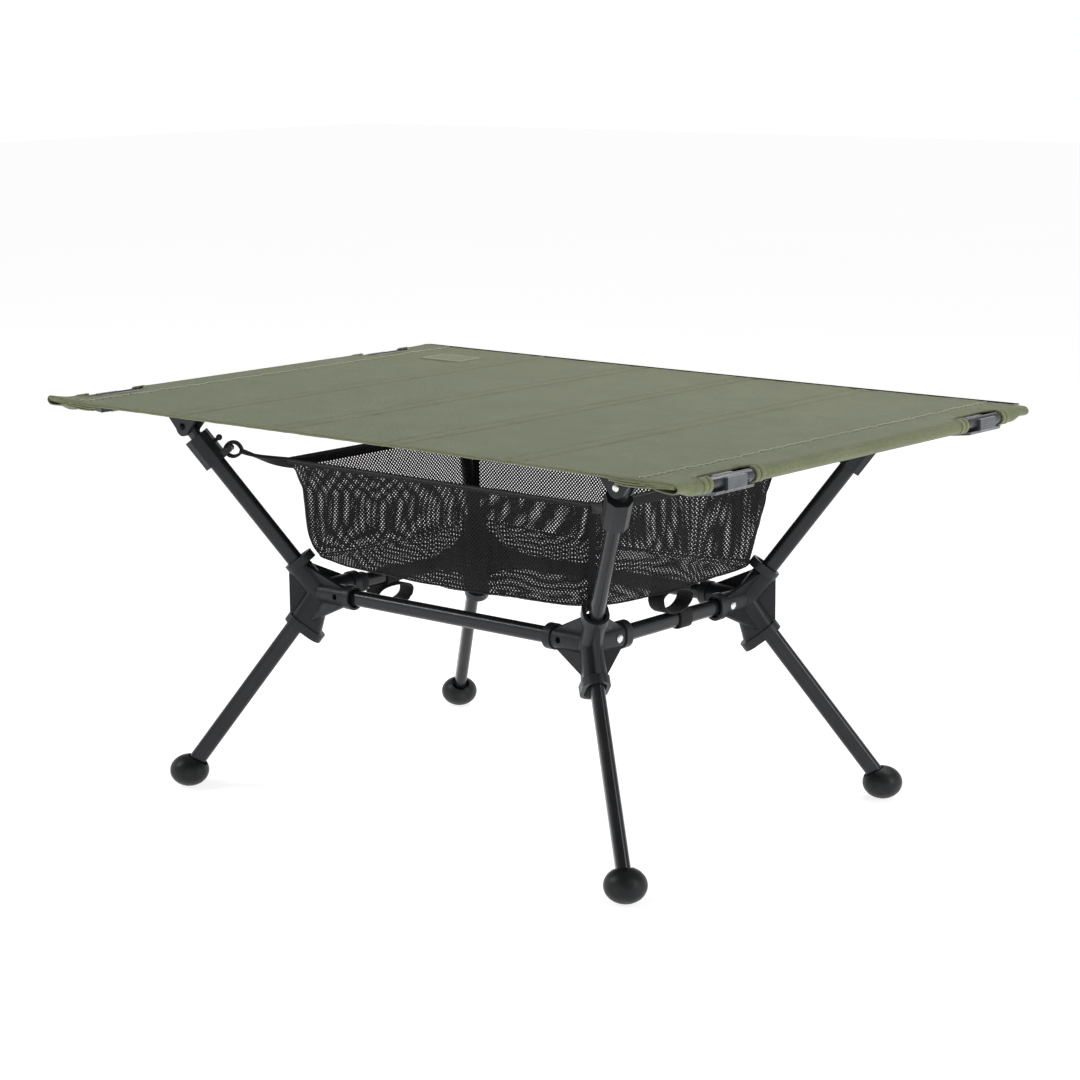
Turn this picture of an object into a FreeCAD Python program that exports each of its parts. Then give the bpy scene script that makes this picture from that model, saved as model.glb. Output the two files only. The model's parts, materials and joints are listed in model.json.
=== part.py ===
"""Folding camp kitchen table: a stretched fabric top on battens and end poles, carried by two rails,
four splayed arms, four moulded hubs joined by struts, and four splayed legs with ball feet.
A mesh basket hangs under the top.  Units are millimetres, +Z is up, and the origin is on the ground
under the middle of the table.  +X runs along the long side, -Y is the front.
"""
import FreeCAD, Part
import math
import os
import Sketcher

V = FreeCAD.Vector

# ---------------------------------------------------------------- driving dimensions
DIMENSIONS = {
    # where the four hubs stand, and how the legs and arms splay
    "hub_along": 178.0,          # hub centre from the middle, along X
    "hub_across": 119.5,         # hub centre from the middle, along Y
    "hub_height": 204.5,
    "plan_angle": 38.0,          # degrees from X to the vertical plane of a leg and its arm
    "leg_angle": 36.6,           # degrees from vertical
    "arm_angle": 37.2,           # degrees from vertical
    "arm_reach": 213.0,          # hub centre to bracket pivot
    # flat-oval aluminium tube
    "tube_wide": 17.0,
    "tube_thin": 13.0,
    "tube_wall": 1.2,
    "tube_start": 7.0,           # hub centre to the end of a leg or an arm
    "strut_tall": 16.0,
    "slip": 0.3,                 # clearance round a leg in its hub
    # ball feet
    "foot_width": 40.0,
    "foot_height": 33.0,
    "foot_flat": 0.3,            # height of the ball that its flat sole takes away
    "foot_recess": 24.0,
    "foot_socket": 9.0,          # foot centre to the end of the leg
    # hub sockets
    "socket_wide": 24.0,
    "socket_thin": 20.5,
    "arm_socket_end": 41.0,
    "arm_collar_wide": 32.0,
    "collar_thin": 25.0,
    "leg_socket_end": 44.0,
    "leg_collar_wide": 43.0,
    "collar_length": 9.0,
    "collar_outside": 12.5,      # tube axis to the outside of a collar
    "strut_socket_end": 50.0,
    "strut_socket_round": 21.5,
    "strut_socket_tall": 24.0,
    "strut_socket_thin": 18.5,
    "strut_collar": 24.5,
    "web_thickness": 3.2,
    "web_side": 7.0,            # axis of a socket to the outer edge of a web beside it
    "gusset_reach": 31.0,
    "pin_place": 31.0,           # hub centre to the pin or rivet of a strut
    "pin_size": 3.4,
    "pin_hole": 6.0,             # sunken hole in a hub that shows a long strut's pin
    "rivet_head": 8.4,
    # arm sleeves and brackets
    "sleeve_start": 166.0,
    "sleeve_length": 34.0,
    "sleeve_wide": 25.0,
    "sleeve_thin": 23.0,
    "tongue": 8.0,
    "lobe": 9.7,
    "plate": 3.5,
    "plate_gap": 8.8,
    "pivot_size": 5.0,
    "bracket_length": 50.0,
    # rails, clips and end poles
    "rail_size": 12.0,
    "rail_height": 389.4,
    "rail_half": 381.0,
    "pole_size": 11.0,
    "pole_along": 395.2,
    "pole_height": 393.2,
    "pole_half": 252.0,
    "clip_gap": 0.3,
    "clip_wall": 3.2,
    "clip_length": 27.0,
    "clip_base_length": 54.0,
    # fabric top
    "top_half": 402.0,
    "top_half_width": 277.0,
    "top_height": 400.0,
    "edge_bow": 5.0,
    "fabric": 1.4,
    "notch_length": 87.0,
    "notch_depth": 22.0,
    "hem_width": 5.0,
    "hem_drop": 3.8,
    "batten_width": 16.0,
    "batten_thickness": 2.4,
    "batten_half": 261.0,
    "batten_step": 144.0,
    "label_length": 60.0,
    "label_width": 40.0,
    "label_along": 290.0,
    "label_across": 202.0,
    "label_thickness": 0.6,
    # mesh basket
    "rim_half": 201.0,
    "rim_half_width": 142.0,
    "rim_height": 342.0,
    "rim_tape": 11.0,
    "waist_half": 183.0,
    "waist_half_width": 122.0,
    "waist_height": 246.0,
    "floor_half": 145.0,
    "floor_half_width": 88.0,
    "floor_height": 233.0,
    "mesh_wall": 1.6,
    "tab_band": 2.0,
    "tab_width": 10.0,
    "tab_eye_long": 15.0,
    "tab_eye_tall": 11.5,
    "hook_place": 4.0,           # start of a sleeve to its basket hook, along the arm
    "hook_rise": 6.4,            # side of a sleeve to the middle of the hook's pin
    "hook_pin": 5.6,
    "hook_knob": 6.4,
    # straps and shock cord
    "strap_width": 20.0,
    "strap_band": 1.8,
    "cord_size": 3.4,
    "cord_knot": 8.0,
}

doc = FreeCAD.newDocument("camp_kitchen_table")
sheet = doc.addObject("Spreadsheet::Sheet", "Sizes")
for row, (alias, number) in enumerate(DIMENSIONS.items(), start=1):
    sheet.set(f"A{row}", alias)
    sheet.set(f"B{row}", str(number))
    sheet.setAlias(f"B{row}", alias)
doc.recompute()


class Size:
    """A length that knows both its spreadsheet formula and its present value."""

    def __init__(self, formula, value):
        self.formula = formula
        self.value = value

    def __add__(self, other):
        other = as_size(other)
        return Size(f"({self.formula} + {other.formula})", self.value + other.value)

    def __sub__(self, other):
        other = as_size(other)
        return Size(f"({self.formula} - {other.formula})", self.value - other.value)

    def __mul__(self, factor):
        return Size(f"({self.formula} * {factor:.7f})", self.value * factor)

    def __truediv__(self, divisor):
        return self * (1.0 / divisor)

    def __neg__(self):
        return self * -1.0


def as_size(number):
    return number if isinstance(number, Size) else Size(f"{float(number):.7f}", float(number))


def size(alias):
    return Size(f"Sizes.{alias}", float(sheet.get(alias)))


def bind(thing, attribute, length):
    thing.setExpression(attribute, as_size(length).formula)


# ---------------------------------------------------------------- places and directions
plan = math.radians(size("plan_angle").value)
leg_tilt = math.radians(size("leg_angle").value)
arm_tilt = math.radians(size("arm_angle").value)
hub_centre = V(size("hub_along").value, -size("hub_across").value, size("hub_height").value)
radial = V(math.cos(plan), -math.sin(plan), 0)
tangent = V(math.sin(plan), math.cos(plan), 0)
leg_direction = radial * math.sin(leg_tilt) + V(0, 0, -math.cos(leg_tilt))
arm_direction = radial * math.sin(arm_tilt) + V(0, 0, math.cos(arm_tilt))
foot_rise = size("foot_height").value / 2 - size("foot_flat").value
leg_reach = (size("hub_height").value - foot_rise) / math.cos(leg_tilt)
foot_centre = hub_centre + leg_direction * leg_reach
pivot_centre = hub_centre + arm_direction * size("arm_reach").value


def along(direction, across, base):
    """Placement with its Z on direction and its X as near to across as a right angle allows."""
    z_axis = V(direction).normalize()
    y_axis = z_axis.cross(across).normalize()
    x_axis = y_axis.cross(z_axis)
    return FreeCAD.Placement(base, FreeCAD.Rotation(x_axis, y_axis, z_axis, "ZXY"))


leg_frame = along(leg_direction, radial, hub_centre)
arm_frame = along(arm_direction, radial, hub_centre)
long_frame = along(V(-1, 0, 0), V(0, 0, 1), hub_centre)
short_frame = along(V(0, 1, 0), V(0, 0, 1), hub_centre)
FLAT = FreeCAD.Placement()


# ---------------------------------------------------------------- bodies, sketches and features
def new_body(name, placement=FLAT):
    body = doc.addObject("PartDesign::Body", name)
    body.Label = name
    body.Placement = placement
    return body


def origin_plane(body, role):
    return next(item for item in body.Origin.OriginFeatures if item.Role == role)


def new_sketch(body, role="XY_Plane", lift=0.0):
    sketch = body.newObject("Sketcher::SketchObject", body.Name + "_sketch")
    sketch.AttachmentSupport = [(origin_plane(body, role), "")]
    sketch.MapMode = "FlatFace"
    bind(sketch, "AttachmentOffset.Base.z", lift)
    return sketch


def hold(sketch, kind, where, length):
    """Add a dimension to a sketch and bind it to the sheet."""
    length = as_size(length)
    index = sketch.addConstraint(Sketcher.Constraint(kind, *where, length.value))
    sketch.setExpression(f"Constraints[{index}]", length.formula)


def hold_point(sketch, geometry, point, x, y):
    hold(sketch, "DistanceX", (geometry, point), x)
    hold(sketch, "DistanceY", (geometry, point), y)


def draw_circle(sketch, diameter, x=0.0, y=0.0):
    centre = V(as_size(x).value, as_size(y).value, 0)
    index = sketch.addGeometry(Part.Circle(centre, V(0, 0, 1), diameter.value / 2))
    hold(sketch, "Diameter", (index,), diameter)
    hold_point(sketch, index, 3, x, y)


def draw_oval(sketch, wide, thin, x=0.0, y=0.0):
    """A flat oval: two straight sides along X, joined by two half circles."""
    x = as_size(x)
    y = as_size(y)
    reach = (wide - thin) / 2
    radius = thin / 2
    right = V(x.value + reach.value, y.value, 0)
    left = V(x.value - reach.value, y.value, 0)
    rise = V(0, radius.value, 0)
    quarter = math.pi / 2
    first = sketch.addGeometry(Part.LineSegment(left + rise, right + rise))
    sketch.addGeometry(Part.ArcOfCircle(Part.Circle(right, V(0, 0, 1), radius.value), -quarter, quarter))
    sketch.addGeometry(Part.LineSegment(right - rise, left - rise))
    sketch.addGeometry(Part.ArcOfCircle(Part.Circle(left, V(0, 0, 1), radius.value), quarter, 3 * quarter))
    top, end, bottom, start = range(first, first + 4)
    for one, point_one, two, point_two in ((top, 2, end, 2), (end, 1, bottom, 1),
                                           (bottom, 2, start, 2), (start, 1, top, 1)):
        sketch.addConstraint(Sketcher.Constraint("Tangent", one, point_one, two, point_two))
    hold(sketch, "Radius", (end,), radius)
    hold_point(sketch, end, 3, x + reach, y)
    hold_point(sketch, start, 3, x - reach, y)


def draw_polygon(sketch, corners):
    """A closed outline with straight sides; each corner is a pair of lengths."""
    corners = [(as_size(x), as_size(y)) for x, y in corners]
    count = len(corners)
    first = sketch.GeometryCount
    for index in range(count):
        here = corners[index]
        there = corners[(index + 1) % count]
        sketch.addGeometry(Part.LineSegment(V(here[0].value, here[1].value, 0),
                                            V(there[0].value, there[1].value, 0)))
    for index in range(count):
        sketch.addConstraint(Sketcher.Constraint("Coincident", first + index, 2,
                                                 first + (index + 1) % count, 1))
        hold_point(sketch, first + index, 1, *corners[index])


def draw_rectangle(sketch, x_low, x_high, y_low, y_high):
    draw_polygon(sketch, [(x_low, y_low), (x_high, y_low), (x_high, y_high), (x_low, y_high)])


def draw_round_rectangle(sketch, half_length, half_width, radius):
    """A rectangle about the origin with round corners."""
    corner = [(half_length - radius, half_width - radius), (radius - half_length, half_width - radius),
              (radius - half_length, radius - half_width), (half_length - radius, radius - half_width)]
    middle = [V(x.value, y.value, 0) for x, y in corner]
    steps = [V(0, radius.value, 0), V(-radius.value, 0, 0), V(0, -radius.value, 0), V(radius.value, 0, 0)]
    quarter = math.pi / 2
    first = sketch.GeometryCount
    for index in range(4):
        circle = Part.Circle(middle[index], V(0, 0, 1), radius.value)
        sketch.addGeometry(Part.ArcOfCircle(circle, index * quarter, (index + 1) * quarter))
    for index in range(4):
        following = (index + 1) % 4
        sketch.addGeometry(Part.LineSegment(middle[index] + steps[index], middle[following] + steps[index]))
    for index in range(4):
        following = (index + 1) % 4
        side = first + 4 + index
        sketch.addConstraint(Sketcher.Constraint("Tangent", first + index, 2, side, 1))
        sketch.addConstraint(Sketcher.Constraint("Tangent", side, 2, first + following, 1))
    hold(sketch, "Radius", (first,), radius)
    for index in (0, 2):
        hold_point(sketch, first + index, 3, *corner[index])
    sketch.addConstraint(Sketcher.Constraint("Equal", first, first + 1))
    sketch.addConstraint(Sketcher.Constraint("Equal", first, first + 2))


def pad(body, sketch, length, symmetric=False, backwards=False):
    feature = body.newObject("PartDesign::Pad", body.Name + "_pad")
    feature.Profile = sketch
    bind(feature, "Length", length)
    feature.SideType = "Symmetric" if symmetric else "One side"
    feature.Reversed = backwards
    sketch.Visibility = False
    return feature


def pocket(body, sketch, length, symmetric=False, backwards=False):
    before = volume(body)
    feature = body.newObject("PartDesign::Pocket", body.Name + "_pocket")
    feature.Profile = sketch
    bind(feature, "Length", length)
    feature.SideType = "Symmetric" if symmetric else "One side"
    feature.Reversed = backwards
    if not volume(body) < before - 0.01:
        raise RuntimeError(f"{feature.Name} cuts nothing")
    return feature


def volume(body):
    doc.recompute()
    return body.Shape.Volume


def loft(body, sketches, cutting=False):
    kind = "PartDesign::SubtractiveLoft" if cutting else "PartDesign::AdditiveLoft"
    feature = body.newObject(kind, body.Name + "_loft")
    feature.Profile = sketches[0]
    feature.Sections = sketches[1:]
    feature.Ruled = True
    return feature


def revolve(body, sketch):
    feature = body.newObject("PartDesign::Revolution", body.Name + "_revolution")
    feature.Profile = sketch
    feature.ReferenceAxis = (sketch, ["V_Axis"])
    feature.Angle = 360.0
    return feature


def oval_bar(name, placement, wide, thin, start, length, shift=0.0):
    """A flat-oval bar along the local Z axis."""
    body = new_body(name, placement)
    sketch = new_sketch(body, lift=start)
    draw_oval(sketch, wide, thin, x=shift)
    pad(body, sketch, length)
    return body


def oval_funnel(name, placement, small, large):
    """A flat oval that widens along the local Z axis; each end is (wide, thin, shift, height)."""
    body = new_body(name, placement)
    sketches = []
    for wide, thin, shift, height in (small, large):
        sketch = new_sketch(body, lift=height)
        draw_oval(sketch, wide, thin, x=shift)
        sketches.append(sketch)
    loft(body, sketches)
    return body


def oval_tube(name, placement, wide, thin, start, length):
    """A hollow flat-oval tube along the local Z axis."""
    body = oval_bar(name, placement, wide, thin, start, length)
    sketch = new_sketch(body, lift=start)
    wall = size("tube_wall")
    draw_oval(sketch, wide - wall * 2, thin - wall * 2)
    pocket(body, sketch, length, backwards=True)
    return body


def cylinder(name, placement, radius, height):
    thing = doc.addObject("Part::Cylinder", name)
    bind(thing, "Radius", radius)
    bind(thing, "Height", height)
    thing.Placement = placement
    return thing


def sphere(name, centre, radius):
    thing = doc.addObject("Part::Sphere", name)
    bind(thing, "Radius", radius)
    thing.Placement = FreeCAD.Placement(centre, FreeCAD.Rotation())
    return thing


def block(name, corner, length, width, height):
    thing = doc.addObject("Part::Box", name)
    bind(thing, "Length", length)
    bind(thing, "Width", width)
    bind(thing, "Height", height)
    thing.Placement = FreeCAD.Placement(corner, FreeCAD.Rotation())
    return thing


def fuse(name, pieces):
    thing = doc.addObject("Part::MultiFuse", name)
    thing.Shapes = pieces
    thing.Refine = True
    return thing


def cut(name, base, tools):
    thing = doc.addObject("Part::Cut", name)
    thing.Label = name
    thing.Base = base
    thing.Tool = tools[0] if len(tools) == 1 else fuse(name + "_tools", tools)
    thing.Refine = True
    return thing


def mirrored(source, name, normal):
    thing = doc.addObject("Part::Mirroring", name)
    thing.Label = name
    thing.Source = source
    thing.Normal = normal
    return thing


nodes = []


def four_corners(source, stem):
    """Keep a front right piece and its three mirror copies."""
    source.Label = stem + "_front_right"
    back_right = mirrored(source, stem + "_back_right", V(0, 1, 0))
    front_left = mirrored(source, stem + "_front_left", V(1, 0, 0))
    back_left = mirrored(back_right, stem + "_back_left", V(1, 0, 0))
    nodes.extend([source, back_right, front_left, back_left])
    return [source, back_right, front_left, back_left]


def front_and_back(source, stem):
    source.Label = stem + "_front"
    nodes.extend([source, mirrored(source, stem + "_back", V(0, 1, 0))])


def right_and_left(source, stem):
    source.Label = stem + "_right"
    nodes.extend([source, mirrored(source, stem + "_left", V(1, 0, 0))])


def group_of_four(source, name):
    """Identical small pieces at the four corners, kept together as one node."""
    back_right = mirrored(source, name + "_back_right", V(0, 1, 0))
    front_left = mirrored(source, name + "_front_left", V(1, 0, 0))
    back_left = mirrored(back_right, name + "_back_left", V(1, 0, 0))
    group = doc.addObject("Part::Compound", name)
    group.Label = name
    group.Links = [source, back_right, front_left, back_left]
    nodes.append(group)


# ---------------------------------------------------------------- hubs
def web(name, first, first_reach, second, second_reach):
    """A thin web that joins the near sides of two sockets that leave the hub centre."""
    normal = first.cross(second).normalize()
    side = size("web_side")
    placement = along(normal, first, hub_centre)
    body = new_body(name, placement)
    sketch = new_sketch(body)
    angle = first.getAngle(second)
    level, rise = math.cos(angle), math.sin(angle)
    draw_polygon(sketch, [(0, 0), (first_reach, 0), (first_reach, side),
                          (second_reach * level + side * rise, second_reach * rise - side * level),
                          (second_reach * level, second_reach * rise)])
    pad(body, sketch, size("web_thickness"), symmetric=True)
    return body


def gusset():
    """The upright plate on the outer side of the hub, between the arm socket and the leg socket."""
    body = new_body("hub_gusset", along(tangent, radial, hub_centre))
    sketch = new_sketch(body)
    reach = size("gusset_reach")
    top = size("arm_socket_end") * (math.cos(arm_tilt) * 0.62)
    bottom = size("leg_socket_end") * (math.cos(leg_tilt) * -0.62)
    flip = 1 if body.Placement.Rotation.multVec(V(0, 1, 0)).z > 0 else -1
    draw_polygon(sketch, [(0, top * (0.2 * flip)), (reach, top * flip), (reach, bottom * flip),
                          (0, bottom * (0.2 * flip))])
    pad(body, sketch, size("web_thickness") * 1.3, symmetric=True)
    return body


def make_hubs():
    wide, thin = size("socket_wide"), size("socket_thin")
    collar_thin, collar = size("collar_thin"), size("collar_length")
    arm_end, leg_end = size("arm_socket_end"), size("leg_socket_end")
    strut_end, strut_collar = size("strut_socket_end"), size("strut_collar")
    arm_wide, leg_wide = size("arm_collar_wide"), size("leg_collar_wide")
    outside = size("collar_outside")
    arm_shift, leg_shift = outside - arm_wide / 2, outside - leg_wide / 2
    tube_wide, tube_thin, slip = size("tube_wide"), size("tube_thin"), size("slip")
    round_socket = size("strut_socket_round")
    tall, flat = size("strut_socket_tall"), size("strut_socket_thin")
    west, north = V(-1, 0, 0), V(0, 1, 0)

    solids = [
        sphere("hub_core", hub_centre, wide / 2),
        oval_bar("hub_arm_socket", arm_frame, wide, thin, 0, arm_end - collar / 2),
        oval_bar("hub_arm_collar", arm_frame, arm_wide, collar_thin, arm_end - collar, collar, arm_shift),
        oval_funnel("hub_leg_socket", leg_frame, (wide, thin, 0, 0),
                    (leg_wide - 5, thin + 2.5, leg_shift, leg_end - collar / 2)),
        oval_bar("hub_leg_collar", leg_frame, leg_wide, collar_thin + 1.5, leg_end - collar, collar,
                 leg_shift),
        oval_bar("hub_long_socket", long_frame, round_socket + 0.6, round_socket, 0,
                 strut_end - collar / 2),
        oval_bar("hub_long_collar", long_frame, strut_collar + 0.6, strut_collar, strut_end - collar,
                 collar),
        oval_bar("hub_short_socket", short_frame, tall, flat, 0, strut_end - collar / 2),
        oval_bar("hub_short_collar", short_frame, tall + 3, flat + 3, strut_end - collar, collar),
        web("hub_web_arm_long", arm_direction, arm_end - collar / 2, west, strut_end - collar / 2),
        web("hub_web_arm_short", arm_direction, arm_end - collar / 2, north, strut_end - collar / 2),
        web("hub_web_leg_long", leg_direction, leg_end - collar / 2, west, strut_end - collar / 2),
        web("hub_web_leg_short", leg_direction, leg_end - collar / 2, north, strut_end - collar / 2),
        gusset(),
    ]
    start, through = size("tube_start"), 80.0
    bores = [
        oval_bar("hub_arm_bore", arm_frame, tube_wide, tube_thin, start, through),
        oval_funnel("hub_arm_mouth", arm_frame, (tube_wide - 1, tube_thin - 1, 0, start + 8),
                    (arm_wide - 7, collar_thin - 7, arm_shift, arm_end + 0.5)),
        oval_bar("hub_leg_bore", leg_frame, tube_wide + slip * 2, tube_thin + slip * 2, start - slip,
                 through),
        oval_funnel("hub_leg_mouth", leg_frame, (tube_wide - 1, tube_thin - 1, 0, start + 2),
                    (leg_wide - 7, collar_thin - 6, leg_shift, leg_end + 0.5)),
        oval_bar("hub_long_bore", long_frame, size("strut_tall"), tube_thin, start, through),
        oval_bar("hub_long_mouth", long_frame, strut_collar - 4.4, strut_collar - 5, strut_end - 5,
                 through),
        oval_bar("hub_short_bore", short_frame, size("strut_tall"), tube_thin, start, through),
        oval_bar("hub_short_mouth", short_frame, tall - 3, flat - 2, strut_end - 5, through),
        cylinder("hub_pin_hole",
                 along(V(0, -1, 0), V(1, 0, 0), hub_centre - V(size("pin_place").value, 0, 0)),
                 size("pin_hole") / 2, round_socket),
        cylinder("hub_rivet_hole",
                 along(V(1, 0, 0), V(0, 1, 0), hub_centre + V(0, size("pin_place").value, 0)),
                 size("pin_size") / 2, tall),
    ]
    hub = cut("hub_front_right", fuse("hub_solids", solids), bores)
    four_corners(hub, "hub")


# ---------------------------------------------------------------- legs and feet
def make_legs():
    drop = size("hub_height") - size("foot_height") / 2 + size("foot_flat")
    tube_length = drop / math.cos(leg_tilt) - size("foot_socket") - size("tube_start")
    leg = oval_tube("leg_front_right", leg_frame, size("tube_wide"), size("tube_thin"),
                    size("tube_start"), tube_length)
    four_corners(leg, "leg")

    rod = cylinder("leg_cord_rod", along(leg_direction, radial, hub_centre + leg_direction * 12.0),
                   size("cord_size") / 2, tube_length - 14)
    knot_centre = foot_centre - leg_direction * (size("foot_socket").value + 9.0)
    knot = sphere("leg_cord_knot", knot_centre, size("cord_knot") / 2)
    four_corners(fuse("leg_cord_front_right", [rod, knot]), "leg_cord")


def make_feet():
    """An oblate rubber ball with a recess and six short ribs where the leg goes in."""
    half_wide, half_tall = size("foot_width") / 2, size("foot_height") / 2
    ball = doc.addObject("Part::Ellipsoid", "foot_ball")
    bind(ball, "Radius1", half_tall)
    bind(ball, "Radius2", half_wide)
    bind(ball, "Radius3", half_wide)
    ball.Placement = FreeCAD.Placement(foot_centre, FreeCAD.Rotation())

    frame = along(-leg_direction, radial, foot_centre)
    recess_floor = size("foot_height") * 0.34
    tube_wide, tube_thin = size("tube_wide"), size("tube_thin")
    recess = oval_funnel("foot_recess_cut", frame, (tube_wide + 1.5, tube_thin + 1.5, 0, recess_floor),
                         (size("foot_recess") + 8, size("foot_recess") + 4, 0, recess_floor + 12))
    shell = cut("foot_shell", ball, [recess])
    ribs = []
    for turn in range(6):
        angle = math.radians(60 * turn + 30)
        x_axis, y_axis = frame.Rotation.multVec(V(1, 0, 0)), frame.Rotation.multVec(V(0, 1, 0))
        outward = x_axis * math.cos(angle) + y_axis * math.sin(angle)
        base = foot_centre - leg_direction * (recess_floor.value - 2.0) + outward * 2.0
        ribs.append(oval_bar(f"foot_rib_{turn}", along(outward, -leg_direction, base),
                             as_size(6.5), as_size(2.2), 0, 10.0))
    ribbed = fuse("foot_ribbed", [shell] + ribs)
    trimmed = doc.addObject("Part::Common", "foot_trimmed")
    trimmed.Base = ribbed
    trimmed.Tool = ball
    bore = oval_bar("foot_bore", frame, tube_wide, tube_thin, size("foot_socket"), 40.0)
    ground = block("foot_ground", foot_centre - V(30, 30, foot_rise + 10.0), as_size(60.0), as_size(60.0),
                   as_size(10.0))
    foot = cut("foot_front_right", trimmed, [bore, ground])
    four_corners(foot, "foot")


# ---------------------------------------------------------------- arms, sleeves and brackets
def make_arms():
    arm_length = size("sleeve_start") + size("sleeve_length") - 6 - size("tube_start")
    arm = oval_tube("arm_front_right", arm_frame, size("tube_wide"), size("tube_thin"),
                    size("tube_start"), arm_length)
    four_corners(arm, "arm")
    cord = cylinder("arm_cords_rod", along(arm_direction, radial, hub_centre + arm_direction * 12.0),
                    size("cord_size") / 2, arm_length - 12)
    group_of_four(cord, "arm_cords")


def make_sleeves():
    """The eight-sided moulded sleeve on top of an arm, with its tongue and basket hook."""
    half_wide, half_thin = size("sleeve_wide") / 2, size("sleeve_thin") / 2
    start, length = size("sleeve_start"), size("sleeve_length")
    flat_wide, flat_thin = half_wide * 0.46, half_thin * 0.5
    prism = new_body("sleeve_prism", arm_frame)
    sketch = new_sketch(prism, lift=start)
    draw_polygon(sketch, [(flat_wide, half_thin), (half_wide, flat_thin), (half_wide, -flat_thin),
                          (flat_wide, -half_thin), (-flat_wide, -half_thin), (-half_wide, -flat_thin),
                          (-half_wide, flat_thin), (-flat_wide, half_thin)])
    pad(prism, sketch, length)

    tongue_frame = along(arm_direction, V(1, 0, 0), hub_centre)
    tongue = size("tongue")
    neck = oval_bar("sleeve_neck", tongue_frame, tongue * 2, tongue, start + length - 4,
                    size("arm_reach") - start - length + 4)
    lobe = cylinder("sleeve_lobe", along(V(0, 1, 0), V(1, 0, 0), pivot_centre - V(0, tongue.value / 2, 0)),
                    tongue, tongue)

    inward = arm_frame.Rotation.multVec(V(-1, 0, 0))
    hook_place = hub_centre + arm_direction * (start.value + size("hook_place").value)
    hook_frame = along(inward, arm_direction, hook_place)
    hook_pin, hook_top = size("hook_pin"), half_wide + size("hook_rise")
    ear_gap = size("tab_width") + 1.2
    ear_half, ear_thick = hook_pin / 2 + 0.6, 2.4
    hook = []
    for side, name in ((1, "left"), (-1, "right")):
        ear = new_body(f"sleeve_ear_{name}", hook_frame)
        ear_sketch = new_sketch(ear, role="XZ_Plane", lift=ear_gap * (side / 2))
        draw_polygon(ear_sketch, [(-ear_half, half_wide - 1.5), (ear_half, half_wide - 1.5),
                                  (ear_half, hook_top + ear_half * 0.45),
                                  (ear_half * 0.45, hook_top + ear_half),
                                  (-(ear_half * 0.45), hook_top + ear_half),
                                  (-ear_half, hook_top + ear_half * 0.45)])
        pad(ear, ear_sketch, ear_thick, backwards=side < 0)
        hook.append(ear)
    pin_centre = hook_place + inward * hook_top.value
    pin_half = ear_gap / 2 + ear_thick + 0.8
    hook.append(cylinder("sleeve_hook_pin",
                         along(tangent, radial, pin_centre - tangent * pin_half.value), hook_pin / 2,
                         pin_half * 2))
    knob, stem_place = size("hook_knob"), hook_place + arm_direction * 15.0
    stem_height = half_wide + size("hook_rise") * 0.8
    hook.append(cylinder("sleeve_knob_stem", along(inward, arm_direction, stem_place), knob * 0.32,
                         stem_height))
    hook.append(sphere("sleeve_knob", stem_place + inward * stem_height.value, knob / 2))

    bore = oval_bar("sleeve_bore", arm_frame, size("tube_wide"), size("tube_thin"), start - 1, length - 5)
    cheek_room = []
    for side, name in ((1, "back"), (-1, "front")):
        near = pivot_centre + V(0, side * (size("plate_gap").value / 2 - 0.3), 0)
        cheek_room.append(cylinder(f"sleeve_cheek_room_{name}", along(V(0, side, 0), V(1, 0, 0), near),
                                   size("lobe") + 0.7, size("plate") + 3))
    hole = cylinder("sleeve_pivot_hole", along(V(0, 1, 0), V(1, 0, 0), pivot_centre - V(0, 20, 0)),
                    size("pivot_size") / 2, 40.0)
    sleeve = cut("arm_sleeve_front_right", fuse("sleeve_solids", [prism, neck, lobe] + hook),
                 [bore, hole] + cheek_room)
    four_corners(sleeve, "arm_sleeve")
    return pin_centre


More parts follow.
